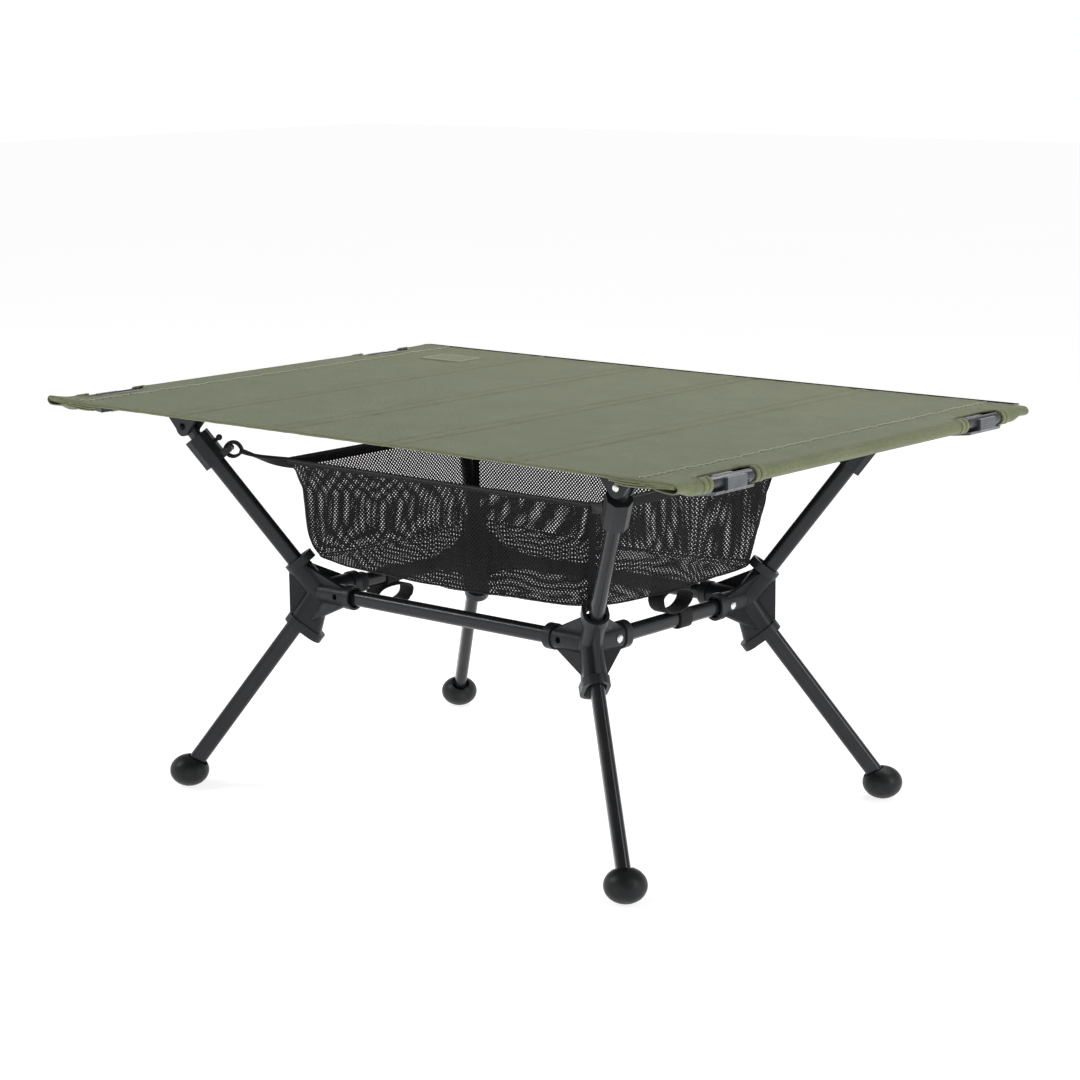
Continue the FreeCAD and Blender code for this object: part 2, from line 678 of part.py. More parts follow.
def make_brackets():
    """The clevis under a rail: a saddle round the tube and two cheeks that hold the pivot."""
    cheek_plan = along(V(0, -1, 0), V(1, 0, 0), pivot_centre)
    up = 1 if cheek_plan.Rotation.multVec(V(0, 1, 0)).z > 0 else -1
    half = size("bracket_length") / 2
    saddle_low = size("rail_height") - pivot_centre.z - size("rail_size") / 2 - 0.2
    lobe = size("lobe")
    solids = [block("bracket_saddle",
                    V(pivot_centre.x - half.value, pivot_centre.y - 9.0,
                      pivot_centre.z + saddle_low.value - 0.2),
                    half * 2, as_size(18.0), size("rail_size") * 0.86)]
    for side, name in ((1, "front"), (-1, "back")):
        lift = size("plate_gap") * (side / 2)
        cheek = new_body(f"bracket_cheek_{name}", cheek_plan)
        sketch = new_sketch(cheek, lift=lift)
        top = (saddle_low + 4) * up
        draw_polygon(sketch, [(-half, top), (half, top), (half - 5, (saddle_low - 1) * up),
                              (lobe * 0.96, lobe * (-0.28 * up)), (lobe * -0.96, lobe * (-0.28 * up)),
                              (-(half - 5), (saddle_low - 1) * up)])
        pad(cheek, sketch, size("plate"), backwards=side < 0)
        offset = V(0, -side * size("plate_gap").value / 2, 0)
        solids += [cheek, cylinder(f"bracket_lobe_{name}",
                                   along(V(0, -side, 0), V(1, 0, 0), pivot_centre + offset), lobe,
                                   size("plate"))]
    rail_bore = cylinder("bracket_rail_bore",
                         along(V(1, 0, 0), V(0, 0, 1), V(pivot_centre.x - 60, pivot_centre.y,
                                                         size("rail_height").value)),
                         size("rail_size") / 2, 120.0)
    hole = cylinder("bracket_pivot_hole", along(V(0, 1, 0), V(1, 0, 0), pivot_centre - V(0, 20, 0)),
                    size("pivot_size") / 2, 40.0)
    bracket = cut("bracket_front_right", fuse("bracket_solids", solids), [rail_bore, hole])
    four_corners(bracket, "bracket")

    reach = size("plate_gap") / 2 + size("plate")
    shank = cylinder("pivot_rivet_shank",
                     along(V(0, 1, 0), V(1, 0, 0), pivot_centre - V(0, reach.value, 0)),
                     size("pivot_size") / 2, reach * 2)
    heads = []
    for side, name in ((1, "back"), (-1, "front")):
        heads.append(domed_head(f"pivot_rivet_head_{name}",
                                pivot_centre + V(0, side * reach.value, 0), V(0, side, 0),
                                size("pivot_size") * 0.72))
    group_of_four(fuse("pivot_rivet", [shank] + heads), "pivot_rivets")


def domed_head(name, base, direction, radius):
    """A low round rivet head with a chamfered edge."""
    body = new_body(name, along(direction, V(0, 0, 1), base))
    sketch = new_sketch(body, role="XZ_Plane")
    draw_polygon(sketch, [(0, 0), (radius, 0), (radius, radius * 0.18), (radius * 0.72, radius * 0.46),
                          (radius * 0.3, radius * 0.58), (0, radius * 0.6)])
    revolve(body, sketch)
    return body


# ---------------------------------------------------------------- struts
def make_struts():
    start = size("tube_start")
    long_strut = oval_tube("strut_front", long_frame, size("strut_tall"), size("tube_thin"), start,
                           (size("hub_along") - start) * 2)
    front_and_back(long_strut, "long_strut")
    short_strut = oval_tube("strut_right", short_frame, size("strut_tall"), size("tube_thin"), start,
                            (size("hub_across") - start) * 2)
    right_and_left(short_strut, "short_strut")

    pin_place = size("pin_place").value
    pin = cylinder("long_strut_pin",
                   along(V(0, -1, 0), V(1, 0, 0),
                         hub_centre + V(-pin_place, -size("tube_thin").value / 2, 0)),
                   size("pin_hole") / 2 - 0.05, as_size(1.0))
    group_of_four(pin, "long_strut_pins")

    face = size("strut_socket_thin") / 2
    shank = cylinder("short_strut_shank",
                     along(V(1, 0, 0), V(0, 0, 1),
                           hub_centre + V(size("tube_thin").value / 2, pin_place, 0)),
                     size("pin_size") / 2, face - size("tube_thin") / 2)
    head = domed_head("short_strut_head", hub_centre + V(face.value, pin_place, 0), V(1, 0, 0),
                      size("rivet_head") / 2)
    group_of_four(fuse("short_strut_rivet", [shank, head]), "short_strut_rivets")


# ---------------------------------------------------------------- rails, clips and poles
def make_rails():
    half = size("rail_half")
    rail = new_body("rail_front", along(V(1, 0, 0), V(0, 0, 1),
                                        V(-half.value, pivot_centre.y, size("rail_height").value)))
    outline = new_sketch(rail)
    draw_circle(outline, size("rail_size"))
    pad(rail, outline, half * 2)
    inside = new_sketch(rail)
    draw_circle(inside, size("rail_size") - size("tube_wall") * 2)
    pocket(rail, inside, half * 2, backwards=True)
    front_and_back(rail, "rail")

    pole = new_body("end_pole_right", along(V(0, 1, 0), V(0, 0, 1),
                                            V(size("pole_along").value, -size("pole_half").value,
                                              size("pole_height").value)))
    outline = new_sketch(pole)
    draw_circle(outline, size("pole_size"))
    pad(pole, outline, size("pole_half") * 2)
    inside = new_sketch(pole)
    draw_circle(inside, size("pole_size") - size("tube_wall") * 2)
    pocket(pole, inside, size("pole_half") * 2, backwards=True)
    right_and_left(pole, "end_pole")


def make_pole_clips():
    """The open-topped cradle at a rail's end that the end pole drops into."""
    pole = V(size("pole_along").value, pivot_centre.y, size("pole_height").value)
    frame = along(V(0, -1, 0), V(1, 0, 0), pole)
    up = 1 if frame.Rotation.multVec(V(0, 1, 0)).z > 0 else -1
    slot = size("pole_size") / 2 + size("clip_gap")
    wall = size("clip_wall")
    lip = new_body("clip_cradle", frame)
    sketch = new_sketch(lip)
    draw_polygon(sketch, [(slot + wall, 4.4 * up), (slot + wall, -6.2 * up), (slot - 1.5, -8.8 * up),
                          (-15.0, -12.4 * up), (-18.0, -9.0 * up), (-18.0, 3.0 * up),
                          (-(slot + wall), 4.4 * up)])
    pad(lip, sketch, size("clip_length"), symmetric=True)
    base = new_body("clip_base", frame)
    sketch = new_sketch(base)
    draw_polygon(sketch, [(slot + 1.0, -6.4 * up), (slot - 0.5, -9.4 * up), (-15.0, -11.8 * up),
                          (-15.0, -7.5 * up), (-slot, -6.4 * up)])
    pad(base, sketch, size("clip_base_length"), symmetric=True)
    hollow = cylinder("clip_hollow", along(V(0, 1, 0), V(1, 0, 0), pole - V(0, 40, 0)), slot, 80.0)
    way_out = block("clip_way_out", pole - V(slot.value, 40, 0), slot * 2, as_size(80.0), as_size(20.0))
    rail_bore = cylinder("clip_rail_bore", along(V(1, 0, 0), V(0, 0, 1),
                                                 V(size("rail_half").value - 40, pivot_centre.y,
                                                   size("rail_height").value)),
                         size("rail_size") / 2, 40.0)
    clip = cut("pole_clip_front_right", fuse("clip_solids", [lip, base]),
               [hollow, way_out, rail_bore])
    four_corners(clip, "pole_clip")


# ---------------------------------------------------------------- fabric top
def draw_top_outline(sketch, half_length, half_width, bow):
    """Straight short ends and long sides that curve inwards a little."""
    far, wide, sag = half_length.value, half_width.value, bow.value
    first = sketch.GeometryCount
    corners = [V(far, -wide, 0), V(far, wide, 0), V(-far, wide, 0), V(-far, -wide, 0)]
    sketch.addGeometry(Part.LineSegment(corners[0], corners[1]))
    sketch.addGeometry(Part.Arc(corners[1], V(0, wide - sag, 0), corners[2]))
    sketch.addGeometry(Part.LineSegment(corners[2], corners[3]))
    sketch.addGeometry(Part.Arc(corners[3], V(0, sag - wide, 0), corners[0]))
    radius = (half_length.value ** 2 + sag ** 2) / (2 * sag)
    ratio = radius / half_length.value
    for curve in (first + 1, first + 3):
        hold(sketch, "Radius", (curve,), half_length * ratio)
    hold_point(sketch, first, 1, half_length, -half_width)
    hold_point(sketch, first, 2, half_length, half_width)
    hold_point(sketch, first + 2, 1, -half_length, half_width)
    hold_point(sketch, first + 2, 2, -half_length, -half_width)
    join_curve(sketch, first + 1, first, 2, first + 2, 1)
    join_curve(sketch, first + 3, first + 2, 2, first, 1)


def join_curve(sketch, curve, before, before_point, after, after_point):
    """Close a curve onto its two straight neighbours, whichever way round it runs."""
    start = sketch.getPoint(curve, 1)
    near = sketch.getPoint(before, before_point)
    flip = start.distanceToPoint(near) > 1.0
    sketch.addConstraint(Sketcher.Constraint("Coincident", curve, 2 if flip else 1, before, before_point))
    sketch.addConstraint(Sketcher.Constraint("Coincident", curve, 1 if flip else 2, after, after_point))


def make_top():
    half, width, thick = size("top_half"), size("top_half_width"), size("fabric")
    sleeve = size("top_half") - size("pole_along")
    sheet_body = new_body("top_sheet")
    sketch = new_sketch(sheet_body, lift=size("top_height") - thick)
    draw_top_outline(sketch, size("pole_along"), width, size("edge_bow"))
    pad(sheet_body, sketch, thick)
    tubes = []
    bores = []
    for side, name in ((1, "right"), (-1, "left")):
        base = V(side * size("pole_along").value, -width.value, size("pole_height").value)
        tubes.append(cylinder(f"top_sleeve_{name}", along(V(0, 1, 0), V(0, 0, 1), base), sleeve,
                              width * 2))
        bores.append(cylinder(f"top_bore_{name}",
                              along(V(0, 1, 0), V(0, 0, 1), base - V(0, 1, 0)),
                              size("pole_size") / 2 + 0.1, width * 2 + 2))
    solids = fuse("top_solids", [sheet_body] + tubes)
    notches = []
    for x_side in (1, -1):
        for y_side in (1, -1):
            name = f"top_notch_{'right' if x_side > 0 else 'left'}_{'back' if y_side > 0 else 'front'}"
            notch = new_body(name, along(V(0, 0, 1), V(0, 1, 0),
                                         V(x_side * (half.value + 2), y_side * -pivot_centre.y, 370)))
            notch_sketch = new_sketch(notch)
            draw_oval(notch_sketch, size("notch_length"), (size("notch_depth") + 2) * 2)
            pad(notch, notch_sketch, 40.0)
            notches.append(notch)
    label_half, label_side = size("label_length") / 2, size("label_width") / 2
    label_x, label_y = -size("label_along"), size("label_across")
    label_low = size("top_height") - size("label_thickness")
    recess = block("top_label_recess",
                   V(label_x.value - label_half.value, label_y.value - label_side.value, label_low.value),
                   label_half * 2, label_side * 2, as_size(3.0))
    top = cut("top_fabric", solids, bores + notches + [recess])
    nodes.append(top)

    hem = new_body("hem_front")
    hem_sketch = new_sketch(hem, lift=size("top_height") - thick - size("hem_drop"))
    draw_hem_outline(hem_sketch)
    pad(hem, hem_sketch, size("hem_drop"))
    front_and_back(hem, "hem")

    step = size("batten_step").value
    low = size("top_height") - thick - size("batten_thickness") - 0.3
    for index in range(4):
        middle = (index - 1.5) * step
        name = f"batten_{index + 1}"
        batten = new_body(name, FreeCAD.Placement(V(middle, 0, 0), FreeCAD.Rotation()))
        batten_sketch = new_sketch(batten, lift=low)
        draw_oval_across(batten_sketch, size("batten_half") * 2, size("batten_width"))
        pad(batten, batten_sketch, size("batten_thickness"))
        nodes.append(batten)

    label = new_body("label_patch")
    label_sketch = new_sketch(label, lift=label_low)
    draw_rectangle(label_sketch, label_x - label_half, label_x + label_half, label_y - label_side,
                   label_y + label_side)
    pad(label, label_sketch, size("label_thickness"))
    nodes.append(label)


def draw_oval_across(sketch, tall, wide):
    """A batten's outline: straight sides along Y with cut corners at both ends."""
    half, reach, nip = wide / 2, tall / 2, wide / 5
    draw_polygon(sketch, [(half, nip - reach), (half, reach - nip), (half - nip, reach),
                          (nip - half, reach), (-half, reach - nip), (-half, nip - reach),
                          (nip - half, -reach), (half - nip, -reach)])


def draw_hem_outline(sketch):
    """The folded edge under the front of the sheet, following its bow."""
    reach = size("pole_along") - 12
    outer, inner = size("top_half_width"), size("top_half_width") - size("hem_width")
    bow = size("edge_bow")
    ratio = reach.value / size("pole_along").value
    dip = bow * (1 - ratio ** 2)
    sag = bow.value * ratio ** 2
    first = sketch.GeometryCount
    edges = [(outer - dip, 1), (inner - dip, -1)]
    ends = []
    for edge, direction in edges:
        start = V(-direction * reach.value, -edge.value, 0)
        stop = V(direction * reach.value, -edge.value, 0)
        sketch.addGeometry(Part.Arc(start, V(0, sag - edge.value, 0), stop))
        ends.append((start, stop))
    sketch.addGeometry(Part.LineSegment(ends[0][1], ends[1][0]))
    sketch.addGeometry(Part.LineSegment(ends[1][1], ends[0][0]))
    radius = (reach.value ** 2 + sag ** 2) / (2 * sag)
    for curve in (first, first + 1):
        hold(sketch, "Radius", (curve,), reach * (radius / reach.value))
    hold_point(sketch, first + 2, 1, reach, -edges[0][0])
    hold_point(sketch, first + 2, 2, reach, -edges[1][0])
    hold_point(sketch, first + 3, 1, -reach, -edges[1][0])
    hold_point(sketch, first + 3, 2, -reach, -edges[0][0])
    join_curve(sketch, first, first + 3, 2, first + 2, 1)
    join_curve(sketch, first + 1, first + 2, 2, first + 3, 1)


# ---------------------------------------------------------------- basket
def make_basket(pin_centre):
    wall = size("mesh_wall")
    levels = [("floor", 34.0), ("waist", 30.0), ("rim", 14.0)]
    tray = new_body("basket_mesh")
    for shrink, cutting in ((0.0, False), (1.0, True)):
        sketches = []
        for level, radius in levels:
            lift = size(f"{level}_height")
            if cutting and level == "floor":
                lift = lift + wall
            if cutting and level == "waist":
                lift = lift + wall * 0.8
            if cutting and level == "rim":
                lift = lift + 0.4
            sketch = new_sketch(tray, lift=lift)
            draw_round_rectangle(sketch, size(f"{level}_half") - wall * shrink,
                                 size(f"{level}_half_width") - wall * shrink,
                                 as_size(radius) - wall * shrink)
            sketches.append(sketch)
        loft(tray, sketches, cutting=cutting)
    nodes.append(tray)

    rim = new_body("basket_rim")
    for extra, cutting in ((1.9, False), (0.3, True)):
        sketch = new_sketch(rim, lift=size("rim_height") - size("rim_tape"))
        draw_round_rectangle(sketch, size("rim_half") + extra, size("rim_half_width") + extra,
                             as_size(14.0 + extra))
        if cutting:
            pocket(rim, sketch, size("rim_tape"), backwards=True)
        else:
            pad(rim, sketch, size("rim_tape"))
    nodes.append(rim)

    corner = V(size("rim_half").value - 1.2, 1.2 - size("rim_half_width").value,
               size("rim_height").value - 5.0)
    run = pin_centre - corner
    frame = along(tangent, run, pin_centre)
    band, tab_width = size("tab_band"), size("tab_width")
    reach = run.Length
    strap = new_body("basket_tab", frame)
    sketch = new_sketch(strap)
    eye, tall = size("tab_eye_long"), size("tab_eye_tall")
    play = size("hook_pin") / 2 + 0.3
    draw_oval(sketch, eye + band * 2, tall + band * 2, x=play - eye / 2)
    draw_oval(sketch, eye, tall, x=play - eye / 2)
    pad(strap, sketch, tab_width, symmetric=True)
    tail = new_sketch(strap)
    draw_rectangle(tail, 4.0 - reach, play - eye - band / 2, -(band / 2), band / 2)
    pad(strap, tail, tab_width, symmetric=True)
    group_of_four(strap, "basket_tabs")


# ---------------------------------------------------------------- straps on the short struts
def make_straps():
    """Two hook-and-loop straps that tie the folded frame: one stands up, one hangs down."""
    band, wide = size("strap_band"), size("strap_width")
    strut_half = size("strut_tall").value / 2
    for name, side, middle_y, length, tall, base in (
            ("strap_right", 1, 1.0, 46.0, 24.0, strut_half + 0.2),
            ("strap_left", -1, -18.0, 53.0, 22.0, -strut_half - 0.2 - 22.0)):
        centre = V(side * size("hub_along").value, middle_y, size("hub_height").value + base + tall / 2)
        ring = new_body(name, along(V(1, 0, 0), V(0, 1, 0), centre))
        sketch = new_sketch(ring)
        draw_oval(sketch, as_size(length), as_size(tall))
        draw_oval(sketch, as_size(length) - band * 2, as_size(tall) - band * 2)
        pad(ring, sketch, wide, symmetric=True)
        nodes.append(ring)


# ---------------------------------------------------------------- build, check and write
def check(thing):
    if {"Invalid", "Error"} & set(thing.State):
        raise RuntimeError(f"{thing.Name} did not compute: {thing.State}")


def main():
    make_hubs()
    make_legs()
    make_feet()
    make_arms()
    pin_centre = make_sleeves()
    make_brackets()
    make_struts()
    make_rails()
    make_pole_clips()
    make_top()
    make_basket(pin_centre)
    make_straps()
    doc.recompute()
    for thing in doc.Objects:
        check(thing)
    for node in nodes:
        if node.Shape.isNull() or not node.Shape.isValid():
            raise RuntimeError(f"{node.Label} has no valid shape")
    os.makedirs("parts", exist_ok=True)
    for node in nodes:
        node.Shape.exportStep(os.path.join("parts", node.Label + ".step"))
    print(len(nodes), "sub-parts written")


main()
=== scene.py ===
import json
import math

import bmesh
import bpy
import numpy as np
from mathutils import Matrix, Vector


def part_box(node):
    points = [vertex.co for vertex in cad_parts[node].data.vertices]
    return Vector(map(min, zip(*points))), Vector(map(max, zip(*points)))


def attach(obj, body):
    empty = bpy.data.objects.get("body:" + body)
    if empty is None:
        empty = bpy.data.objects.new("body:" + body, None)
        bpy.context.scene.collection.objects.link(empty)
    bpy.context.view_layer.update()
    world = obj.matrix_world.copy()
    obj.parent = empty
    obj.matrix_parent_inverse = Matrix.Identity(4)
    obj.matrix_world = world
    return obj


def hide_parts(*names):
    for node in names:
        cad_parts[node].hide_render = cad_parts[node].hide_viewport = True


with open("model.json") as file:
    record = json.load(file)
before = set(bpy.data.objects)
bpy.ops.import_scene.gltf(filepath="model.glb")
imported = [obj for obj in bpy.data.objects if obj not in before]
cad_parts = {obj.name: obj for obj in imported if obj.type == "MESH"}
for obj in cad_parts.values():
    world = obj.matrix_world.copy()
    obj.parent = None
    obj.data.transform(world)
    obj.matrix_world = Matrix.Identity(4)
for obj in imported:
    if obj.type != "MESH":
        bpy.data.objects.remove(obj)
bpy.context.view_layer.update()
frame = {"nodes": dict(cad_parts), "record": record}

MM = 0.001
rng = np.random.default_rng(7)


# ---------------------------------------------------------------- sizes read from the frame
def middle(node):
    """Middle of a CAD node's box."""
    low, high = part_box(node)
    return (low + high) / 2


TOP_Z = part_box("top_fabric")[1].z
POLE_X, POLE_Z = middle("end_pole_right").x, middle("end_pole_right").z
RAIL_Y = abs(middle("rail_front").y)
HALF_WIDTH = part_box("top_fabric")[1].y
OUTER_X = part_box("top_fabric")[1].x
BATTEN_X = [middle(f"batten_{number}").x for number in (1, 2, 3, 4)]
EDGE_BOW = 5.0 * MM                       # how far the long edges curve inwards
CLOTH = 1.0 * MM
WRAP = OUTER_X - POLE_X - CLOTH / 2       # radius of the cloth round an end pole
NOTCH_LENGTH, NOTCH_DEPTH = 87 * MM, 22 * MM
SLEEVE_SEAM = 360 * MM                    # where the sleeve round an end pole is sewn down
POLE_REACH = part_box("end_pole_right")[1].y    # the sleeves go flat past the ends of their poles
CHANNEL = 9.5 * MM                        # batten centre to the seam each side of it
SEAM_GAP = 6 * MM                         # between the two rows of stitches that close a sleeve
TURNING = 8 * MM                          # cloth left over past a sleeve's seam
STITCH_PITCH = 3.6 * MM
# the sleeves' mouths are two rings: middle of the notch to each ring, and how wide the ring is
MOUTH_RINGS = ((33.0 * MM, 5.2 * MM), (39.6 * MM, 6.6 * MM))
# the four corners: which side in x, which side in y, and the name
CORNERS = [(x_side, y_side, f"{y_name}_{x_name}") for x_side, x_name in ((1, "right"), (-1, "left"))
           for y_side, y_name in ((1, "back"), (-1, "front"))]
ALONG_X, ALONG_Y = (1.0, 0.0, 0.0), (0.0, 1.0, 0.0)


# ---------------------------------------------------------------- materials
class Recipe:
    """One node material: a Principled shader and the nodes that feed it."""

    def __init__(self, name, **sockets):
        self.material = bpy.data.materials.new(name)
        self.material.use_nodes = True
        self.tree = self.material.node_tree
        self.shader = self.tree.nodes["Principled BSDF"]
        self.place = self.tree.nodes.new("ShaderNodeTexCoord").outputs["Object"]
        for socket, value in sockets.items():
            self.shader.inputs[socket.replace("_", " ")].default_value = value

    def add(self, kind, inputs, output=0, **settings):
        """Add a node and return one of its outputs; an input is a number, a colour or a socket."""
        node = self.tree.nodes.new(kind)
        for setting, value in settings.items():
            setattr(node, setting, value)
        for socket, value in inputs.items():
            if isinstance(value, bpy.types.NodeSocket):
                self.tree.links.new(value, node.inputs[socket])
            else:
                node.inputs[socket].default_value = value
        return node.outputs[output]

    def stretched(self, x, y, z):
        """The place with each axis scaled, so that a texture runs longer along one of them."""
        return self.add("ShaderNodeVectorMath", {0: self.place, 1: (x, y, z)}, operation="MULTIPLY")

    def noise(self, size, detail=3.0, place=None):
        """Noise from 0 to 1 with features about size metres across."""
        return self.add("ShaderNodeTexNoise", {"Vector": place or self.place, "Scale": 1 / size,
                                               "Detail": detail})

    def between(self, value, low, high, out_low=0.0, out_high=1.0):
        """Stretch values from low to high over out_low to out_high, and clamp the rest."""
        return self.add("ShaderNodeMapRange", {"Value": value, "From Min": low, "From Max": high,
                                               "To Min": out_low, "To Max": out_high})

    def maths(self, operation, first, second):
        """Combine two numbers."""
        return self.add("ShaderNodeMath", {0: first, 1: second}, operation=operation)

    def mix(self, share, first, second):
        """Blend two colours: share 0 gives the first."""
        return self.add("ShaderNodeMix", {0: share, 6: first, 7: second}, output=2, data_type="RGBA")

    def bump(self, height, depth, strength=1.0):
        """Raise the surface by height (0 to 1) times depth metres."""
        inputs = {"Height": height, "Distance": depth, "Strength": strength}
        before = self.shader.inputs["Normal"].links
        if before:
            inputs["Normal"] = before[0].from_socket
        self.feed("Normal", self.add("ShaderNodeBump", inputs))

    def soften_edges(self, radius):
        """Shade sharp edges as if they were rounded off by this radius."""
        self.feed("Normal", self.add("ShaderNodeBevel", {"Radius": radius}, samples=4))

    def feed(self, socket, value):
        """Drive one of the shader's inputs."""
        self.tree.links.new(value, self.shader.inputs[socket])

    def painted_edge_highlight(self, low=0.52, high=0.62):
        """1 on sharp convex edges, broken up by noise, and 0 elsewhere: the mask for a painted edge
        highlight.
        """
        point = self.tree.nodes.new("ShaderNodeNewGeometry").outputs["Pointiness"]
        edge = self.between(point, low, high)
        return self.maths("MULTIPLY", edge, self.between(self.noise(1.6 * MM), 0.35, 0.65))

    def weave(self, pitch):
        """Plain weave in the XY plane: warp threads over, weft threads over, by turns."""
        flat = self.stretched(1, 1, 0)
        warp = self.add("ShaderNodeTexWave", {"Vector": flat, "Scale": math.pi / 10 / pitch,
                                              "Distortion": 0.6, "Detail Scale": 2.0},
                        bands_direction="X")
        weft = self.add("ShaderNodeTexWave", {"Vector": flat, "Scale": math.pi / 10 / pitch,
                                              "Distortion": 0.6, "Detail Scale": 2.0},
                        bands_direction="Y")
        over = self.add("ShaderNodeTexChecker", {"Vector": flat, "Scale": 1 / pitch}, output=1)
        return self.add("ShaderNodeMix", {0: over, 2: output_value(self, warp),
                                          3: output_value(self, weft)}, data_type="FLOAT")


def output_value(recipe, socket):
    """A colour socket as one number."""
    return recipe.add("ShaderNodeRGBToBW", {"Color": socket})


def moulded(name, dark, light, roughness, grain):
    """Satin moulded plastic: fine spark-eroded grain, faint flow marks, and a painted highlight that makes
    the convex edges paler.
    """
    recipe = Recipe(name, Specular_IOR_Level=0.26)
    recipe.soften_edges(0.7 * MM)
    cloud = recipe.between(recipe.noise(22 * MM), 0.3, 0.7)
    base = recipe.mix(cloud, dark, light)
    # paler convex edges, broken up by noise: a painted highlight
    highlight_mask = recipe.painted_edge_highlight()
    pale = tuple(min(1.0, channel * 2.2 + 0.01) for channel in light[:3]) + (1.0,)
    recipe.feed("Base Color", recipe.mix(recipe.maths("MULTIPLY", highlight_mask, 0.3), base, pale))
    rough = recipe.between(recipe.noise(6 * MM, 4.0), 0.3, 0.7, roughness - 0.06, roughness + 0.06)
    recipe.feed("Roughness", rough)
    recipe.bump(recipe.noise(grain, 2.0), 0.06 * MM, 0.5)
    return recipe.material


def clip_finish(name):
    """Smooth grey plastic with a metallic flake: bright where it faces the light, dark in its hollows."""
    recipe = Recipe(name, Metallic=0.6, Specular_IOR_Level=0.5)
    recipe.soften_edges(0.6 * MM)
    cloud = recipe.between(recipe.noise(14 * MM), 0.3, 0.7)
    recipe.feed("Base Color", recipe.mix(cloud, (0.10, 0.108, 0.120, 1), (0.155, 0.165, 0.18, 1)))
    recipe.feed("Roughness", recipe.between(recipe.noise(5 * MM), 0.3, 0.7, 0.2, 0.3))
    recipe.bump(recipe.noise(0.9 * MM, 2.0), 0.01 * MM, 0.4)
    return recipe.material


def anodised(name, dark, light, roughness):
    """Satin anodised tube: a very fine grain in the bump, light scuffs."""
    recipe = Recipe(name, Metallic=0.15, Specular_IOR_Level=0.32, Coat_Weight=0.12, Coat_Roughness=0.12)
    cloud = recipe.between(recipe.noise(30 * MM), 0.3, 0.7)
    base = recipe.mix(cloud, dark, light)
    scuff = recipe.between(recipe.noise(1.2 * MM, 6.0, recipe.stretched(1, 1, 0.25)), 0.66, 0.78)
    pale = tuple(min(1.0, channel * 3.0 + 0.03) for channel in light[:3]) + (1.0,)
    recipe.feed("Base Color", recipe.mix(recipe.maths("MULTIPLY", scuff, 0.2), base, pale))
    rough = recipe.between(recipe.noise(8 * MM, 5.0), 0.3, 0.7, roughness - 0.05, roughness + 0.07)
    recipe.feed("Roughness", rough)
    recipe.bump(recipe.noise(0.8 * MM, 3.0), 0.02 * MM, 0.4)
    return recipe.material


def rubber(name):
    """Dark rubber with a little dust in its grain."""
    recipe = Recipe(name, Specular_IOR_Level=0.24)
    dust = recipe.between(recipe.noise(9 * MM, 5.0), 0.45, 0.8)
    base = recipe.mix(dust, (0.009, 0.010, 0.011, 1), (0.020, 0.021, 0.022, 1))
    recipe.feed("Base Color", base)
    recipe.feed("Roughness", recipe.between(recipe.noise(4 * MM), 0.3, 0.7, 0.34, 0.5))
    recipe.bump(recipe.noise(0.7 * MM, 2.0), 0.08 * MM, 0.5)
    return recipe.material


def bright_metal(name, colour, roughness):
    """Bare metal with faint stains."""
    recipe = Recipe(name, Metallic=1.0)
    stain = recipe.between(recipe.noise(3 * MM, 5.0), 0.4, 0.75)
    recipe.feed("Base Color", recipe.mix(stain, colour, tuple(c * 0.72 for c in colour[:3]) + (1,)))
    rough = recipe.between(recipe.noise(1.5 * MM), 0.3, 0.7, roughness * 0.7, roughness * 1.4)
    recipe.feed("Roughness", rough)
    recipe.bump(recipe.noise(0.5 * MM), 0.02 * MM, 0.4)
    return recipe.material


def woven(name, dark, light, pitch, depth):
    """Coated woven polyester: a plain weave with slubs, and dye that varies a little over the cloth."""
    recipe = Recipe(name, Roughness=0.8, Specular_IOR_Level=0.25, Sheen_Weight=0.25, Sheen_Roughness=0.5)
    threads = recipe.weave(pitch)
    slub = recipe.noise(1.6 * MM, 4.0, recipe.stretched(1, 0.3, 1))
    cross_slub = recipe.noise(1.6 * MM, 4.0, recipe.stretched(0.3, 1, 1))
    cloud = recipe.noise(35 * MM, 3.0)
    fleck = recipe.maths("ADD", recipe.between(slub, 0.3, 0.7, 0, 0.35),
                         recipe.between(cross_slub, 0.3, 0.7, 0, 0.35))
    shade = recipe.maths("ADD", fleck, recipe.between(cloud, 0.3, 0.7, 0, 0.22))
    shade = recipe.maths("ADD", shade, recipe.between(threads, 0, 1, -0.05, 0.12))
    recipe.feed("Base Color", recipe.mix(shade, dark, light))
    recipe.feed("Roughness", recipe.between(threads, 0, 1, 0.86, 0.7))
    recipe.bump(threads, depth, 0.8)
    recipe.bump(slub, depth * 0.7, 0.6)
    return recipe.material


def webbing(name, dark, light, rib, sheen=0.12):
    """Narrow woven tape with ribs across it and a few broken fibres."""
    recipe = Recipe(name, Roughness=0.75, Specular_IOR_Level=0.2, Sheen_Weight=sheen, Sheen_Roughness=0.4)
    ribs = output_value(recipe, recipe.add("ShaderNodeTexWave", {
        "Vector": recipe.place, "Scale": math.pi / 10 / rib, "Distortion": 1.2, "Detail Scale": 1.5},
        bands_direction="DIAGONAL"))
    fuzz = recipe.noise(0.9 * MM, 5.0)
    recipe.feed("Base Color", recipe.mix(recipe.maths("MULTIPLY", ribs, fuzz), dark, light))
    recipe.feed("Roughness", recipe.between(fuzz, 0.3, 0.7, 0.62, 0.85))
    recipe.bump(ribs, 0.25 * MM, 0.7)
    recipe.bump(fuzz, 0.12 * MM, 0.5)
    return recipe.material


